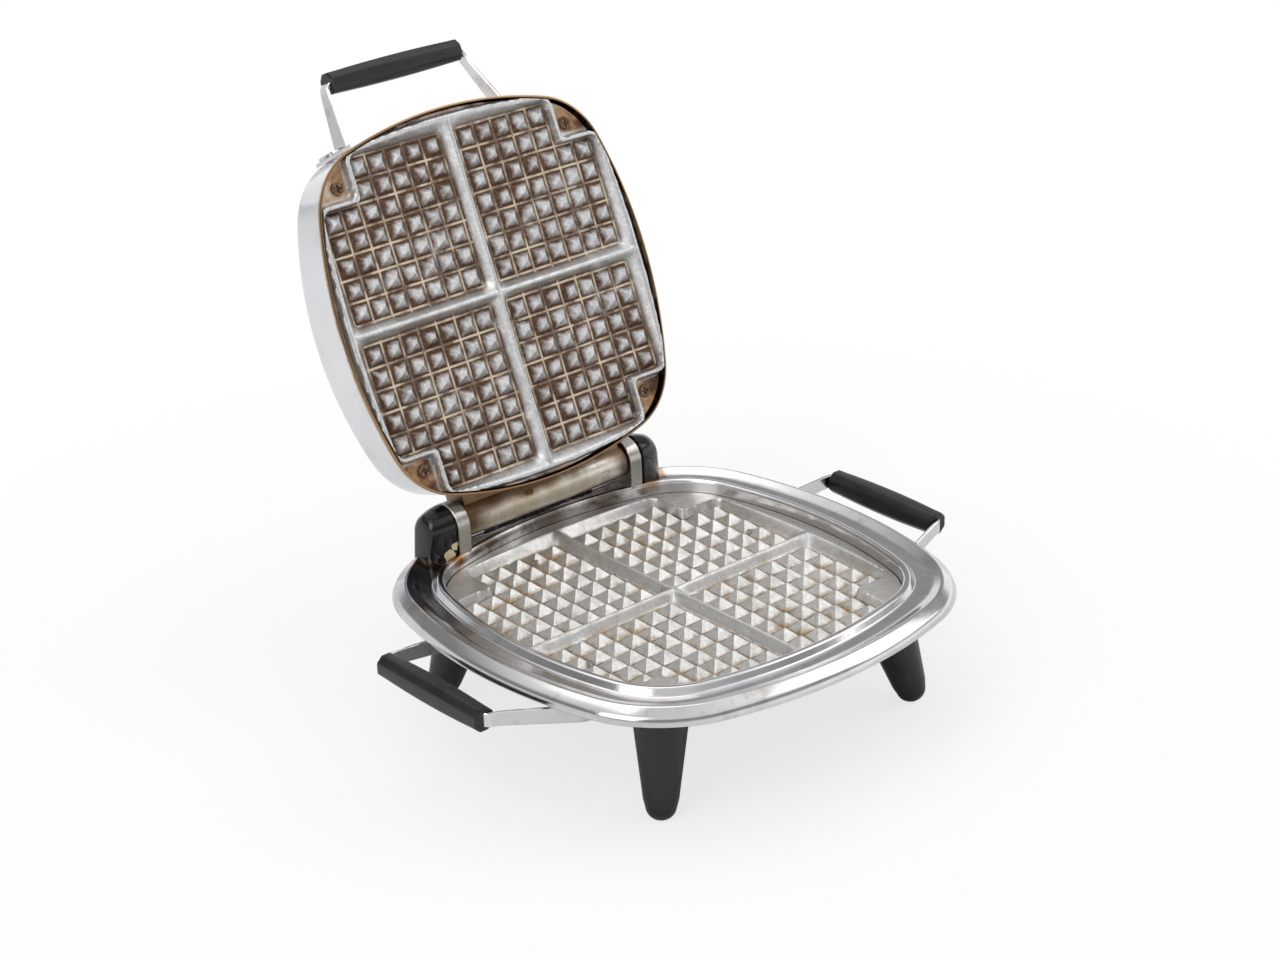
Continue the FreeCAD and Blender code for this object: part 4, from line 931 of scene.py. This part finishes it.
# Hinge barrel. Rolled steel tube across the back of the lid, brushed along its length
# and stained straw and brown by heat and grease.
CRUST, RUN, DROP = (0.10, 0.050, 0.022), (0.16, 0.085, 0.035), (0.05, 0.025, 0.012)
f = Finish("stained barrel")
brush = f.noise(1500.0, 3.0, 0.6, stretch=(0.02, 1.0, 1.0))
patch = f.noise(38.0, 6.0, 0.65)
speck = f.noise(420.0, 5.0, 0.7)
tone = f.blend(f.ramp(patch, (0.42, 0.0), (0.66, 1.0)), (0.74, 0.70, 0.62), (0.52, 0.42, 0.27))
tone = f.blend(f.ramp(f.noise(24.0, 7.0, 0.7), (0.55, 0.0), (0.68, 0.8)), tone, (0.17, 0.09, 0.04))
tone = f.blend(f.ramp(speck, (0.66, 0.0), (0.74, 0.8)), tone, (0.12, 0.06, 0.03))
for centre, size, share in (
    ((-0.0455, 0.0430, 0.0705), 0.0150, 0.95),
    ((-0.0300, 0.0460, 0.0750), 0.0090, 0.8),
    ((0.0450, 0.0425, 0.0690), 0.0085, 0.8),
):
    away = f.ragged(f.sum("DIVIDE", f.away_from(centre), size), patch, 1.8)
    tone = f.blend(f.ramp(away, (0.45, share), (1.05, 0.0)), tone, CRUST)
# One dark drop in the middle, twice as wide as it is high.
drop_place = (-0.0105, 0.0420, 0.0715)
drop = f.vector("MULTIPLY", f.vector("SUBTRACT", f.place, drop_place), (0.5, 0.5, 1.0))
drop = f.vector("LENGTH", drop, output="Value")
drop = f.times(f.ragged(drop, speck, 0.003), 500.0)
tone = f.blend(f.ramp(drop, (0.45, 0.95), (0.75, 0.0)), tone, DROP)
# Grease has run along the upper side.
height = f.ragged(f.split(f.place)["Z"], patch, 0.010)
height = f.times(f.minus(height, 0.0700), 260.0)
tone = f.blend(f.ramp(height, (0.0, 0.0), (0.8, 0.8)), tone, RUN)
gloss = f.plus(f.ramp(patch, (0.3, 0.22), (0.7, 0.42)), f.times(brush, 0.08))
f.bump(brush, 0.00002)
barrel_finish = f.set(Base_Color=tone, Metallic=0.85, Roughness=gloss)
BARREL_RADIUS, BARREL_BORE, BARREL_SIDES = 7.9, 2.05, 72
half_rows = [(44.2, BARREL_BORE), (44.2, 7.3), (43.9, 7.75), (43.5, BARREL_RADIUS), (22.0, BARREL_RADIUS)]
rows = [(-x, r) for x, r in half_rows] + [(0.0, BARREL_RADIUS)] + half_rows[::-1]
around = np.linspace(0, 2 * math.pi, BARREL_SIDES, endpoint=False)
P = np.vstack([
    np.c_[np.full(BARREL_SIDES, x), HINGE_Y + r * np.cos(around), HINGE_LEVEL + r * np.sin(around)]
    for x, r in rows])
faces = grid_faces(len(rows), BARREL_SIDES, True, True)
barrel = make_piece("hinge_barrel_tube", P, faces, 30.0, True)
barrel.data.materials.append(barrel_finish)
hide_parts("hinge_barrel")
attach(barrel, "lid")
repaint("hinge_saddle", barrel_finish)


# Cross rod and lead sleeve. A thin bright rod under the barrel, wrapped for most of its
# length in glass braid that has charred to a rough dark crust.
ROD_Y, ROD_LEVEL, SLEEVE_LENGTH = 88.0, 56.8, 60.0
SLEEVE_ROWS, SLEEVE_SIDES, SLEEVE_RADIUS, SLEEVE_END_RADIUS = 121, 20, 1.15, 0.98
f = Finish("charred braid")
char = f.noise(330.0, 8.0, 0.75)
ash = f.ramp(f.noise(240.0, 6.0, 0.7), (0.52, 0.0), (0.66, 1.0))
f.bump(char, 0.0006)
braid = f.set(Base_Color=f.blend(ash, (0.022, 0.017, 0.015), (0.23, 0.17, 0.13)), Roughness=0.85)
rng = np.random.default_rng(4)
lump = np.convolve(rng.random(SLEEVE_ROWS + 8), np.ones(4) / 4, "same")[4:-4]
t = np.linspace(0, 2 * math.pi, SLEEVE_SIDES, endpoint=False)
P = []
for i in range(SLEEVE_ROWS):
    x = -SLEEVE_LENGTH / 2 + SLEEVE_LENGTH * i / (SLEEVE_ROWS - 1)
    wave = rng.random(SLEEVE_SIDES)
    wave = (wave + np.roll(wave, 1) + np.roll(wave, -1)) / 3
    r = SLEEVE_RADIUS + 0.9 * (lump[i] - 0.25) + 0.35 * (wave - 0.5)
    if i in (0, SLEEVE_ROWS - 1):
        r = SLEEVE_END_RADIUS
    P.append(np.c_[np.full(SLEEVE_SIDES, x), ROD_Y + r * np.cos(t), ROD_LEVEL + r * np.sin(t)])
sleeve = make_piece("braided_lead_sleeve", np.vstack(P), tube_faces(SLEEVE_ROWS, SLEEVE_SIDES), 180.0)
sleeve.data.materials.append(braid)
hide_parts("lead_sleeve")
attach(sleeve, "base")


# Screws, rivets, pin, rod and posts. Plated steel; the four that hold the upper casting
# sit in burnt grease and have rusted in their recesses.
bright_steel = plated("bright fixings", (0.66, 0.65, 0.63), (0.52, 0.50, 0.47), 0.18, 0.36, 0.5)
f = Finish("rusted screws")
rust = f.noise(900.0, 6.0, 0.7)
f.bump(rust, 0.0001)
tone = f.ramp(rust, (0.35, (0.045, 0.03, 0.02)), (0.55, (0.20, 0.12, 0.06)), (0.72, (0.45, 0.40, 0.33)))
rusted = f.set(Base_Color=tone, Metallic=0.55, Roughness=0.5)
repaint("upper_grid_screws", rusted)
for name in (
    "lower_grid_screws", "leg_screws", "side_handle_rivets", "lid_handle_rivets", "inlet_screws",
    "hinge_pin", "cross_rod", "upper_grid_posts",
):
    repaint(name, bright_steel)


# Elements and insulators. Oxidised steel tube in a ring, its two leads, and the four
# ceramic posts that carry it.
f = Finish("oxidised tube")
scale_skin = f.noise(240.0, 6.0, 0.7)
f.bump(scale_skin, 0.0001)
tone = f.ramp(scale_skin, (0.3, (0.10, 0.095, 0.10)), (0.7, (0.24, 0.20, 0.17)))
oxidised = f.set(Base_Color=tone, Metallic=0.7, Roughness=0.55)
f = Finish("ceramic")
grit = f.noise(600.0, 4.0, 0.6)
f.bump(grit, 0.0001)
tone = f.ramp(grit, (0.3, (0.66, 0.62, 0.55)), (0.7, (0.80, 0.77, 0.71)))
ceramic = f.set(Base_Color=tone, Roughness=0.8)
for place in ("lower", "upper"):
    repaint(place + "_element", oxidised)
    repaint(place + "_insulators", ceramic)


# Plug inlet. Black phenolic block under the back of the pan with two plated brass pins.
# Its place and its pins are guessed.
f = Finish("plated pins")
tarnish = f.noise(300.0, 5.0, 0.6)
f.bump(tarnish, 0.00002)
tone = f.ramp(tarnish, (0.35, (0.66, 0.62, 0.52)), (0.7, (0.48, 0.42, 0.30)))
pin_finish = f.set(Base_Color=tone, Metallic=1.0, Roughness=0.3)
repaint("inlet_block", cap_moulding)
repaint("inlet_pins", pin_finish)


# Studio. Pale floor that shines white into the camera, a sky with a darker band for the
# plating to mirror, three soft lamps and the camera of the photograph.
FLOOR_HALF = 4
bpy.context.scene.view_settings.view_transform = "Standard"
mesh = bpy.data.meshes.new("floor")
corners = [(x * FLOOR_HALF, y * FLOOR_HALF, 0) for x, y in ((-1, -1), (1, -1), (1, 1), (-1, 1))]
mesh.from_pydata(corners, [], [[0, 1, 2, 3]])
floor = bpy.data.objects.new("floor", mesh)
bpy.context.scene.collection.objects.link(floor)
f = Finish("floor paper")
seen = f.node("ShaderNodeLightPath").outputs["Is Camera Ray"]
far = f.vector("LENGTH", f.place, output="Value")
share = f.times(f.ramp(far, (0.16, 0.74), (0.42, 1.0)), seen)
lit = f.node("ShaderNodeEmission", {"Color": (1.0, 1.0, 1.0, 1.0), "Strength": 1.0}).outputs[0]
tone = f.ramp(f.noise(3.0, 2.0), (0.3, 0.84), (0.7, 0.86))
paper = f.set(Base_Color=tone, Roughness=0.95, Specular_IOR_Level=0.1)
mixed = f.node("ShaderNodeMixShader", {0: share, 1: f.shader.outputs[0], 2: lit}).outputs[0]
f.join(mixed, f.tree.nodes["Material Output"].inputs["Surface"])
floor.data.materials.append(paper)

world = bpy.data.worlds.new("studio")
bpy.context.scene.world = world
world.use_nodes = True
sky = world.node_tree
background = sky.nodes["Background"]
coordinates = sky.nodes.new("ShaderNodeTexCoord")
apart = sky.nodes.new("ShaderNodeSeparateXYZ")
sky.links.new(coordinates.outputs["Generated"], apart.inputs[0])


def sky_ramp(axis, levels, tint=1.0):
    """Brightness of the sky along one axis."""
    made = sky.nodes.new("ShaderNodeValToRGB")
    sky.links.new(apart.outputs[axis], made.inputs[0])
    while len(made.color_ramp.elements) < len(levels):
        made.color_ramp.elements.new(0.5)
    for element, (at, level) in zip(made.color_ramp.elements, levels):
        element.position = at
        element.color = (level, level, level * tint, 1)
    return made.outputs[0]


by_height = sky_ramp("Z", ((0.0, 1.0), (0.24, 0.97), (0.34, 0.34), (0.60, 0.30), (0.74, 0.95)), 1.02)
from_left = sky_ramp("X", ((0.0, 0.95), (0.9, 1.30)))
shaded = sky.nodes.new("ShaderNodeMix")
shaded.data_type = "RGBA"
shaded.blend_type = "MULTIPLY"
shaded.inputs[0].default_value = 1.0
sky.links.new(by_height, shaded.inputs[6])
sky.links.new(from_left, shaded.inputs[7])
sky.links.new(shaded.outputs[2], background.inputs["Color"])
background.inputs["Strength"].default_value = 0.95


def lamp(name, place, aim, width, depth, power):
    """A soft box: a rectangular lamp that looks at aim."""
    data = bpy.data.lights.new(name, "AREA")
    data.shape, data.size, data.size_y, data.energy = "RECTANGLE", width, depth, power
    made = bpy.data.objects.new(name, data)
    bpy.context.scene.collection.objects.link(made)
    made.location = place
    made.rotation_euler = (Vector(aim) - Vector(place)).to_track_quat("-Z", "Y").to_euler()


lamp("left soft box", (-1.5, -0.3, 1.3), (0, 0, 0.1), 1.0, 1.2, 10.0)
lamp("right soft box", (1.4, -0.7, 1.4), (0, 0, 0.1), 1.0, 1.2, 5.5)
lamp("top soft box", (0.0, 0.6, 2.0), (0, 0, 0.1), 1.6, 1.2, 7.0)

camera_data = bpy.data.cameras.new("camera")
camera = bpy.data.objects.new("camera", camera_data)
bpy.context.scene.collection.objects.link(camera)
bpy.context.scene.camera = camera
camera_data.sensor_width, camera_data.lens, camera_data.clip_end = 36.0, 85.92, 50.0
azimuth, elevation, roll = math.radians(-40.35), math.radians(24.52), math.radians(-1.76)
eye = (-0.7411, -0.8533 - DEPTH_SHIFT * MM, 0.6157)
flat = math.cos(elevation)
back = np.array((math.sin(azimuth) * flat, -math.cos(azimuth) * flat, math.sin(elevation)))
right = np.array((math.cos(azimuth), math.sin(azimuth), 0.0))
above = np.cross(back, right)
turned_right = right * math.cos(roll) + above * math.sin(roll)
turned_up = above * math.cos(roll) - right * math.sin(roll)
matrix = Matrix.Identity(4)
for row in range(3):
    matrix[row] = (turned_right[row], turned_up[row], back[row], eye[row])
camera.matrix_world = matrix
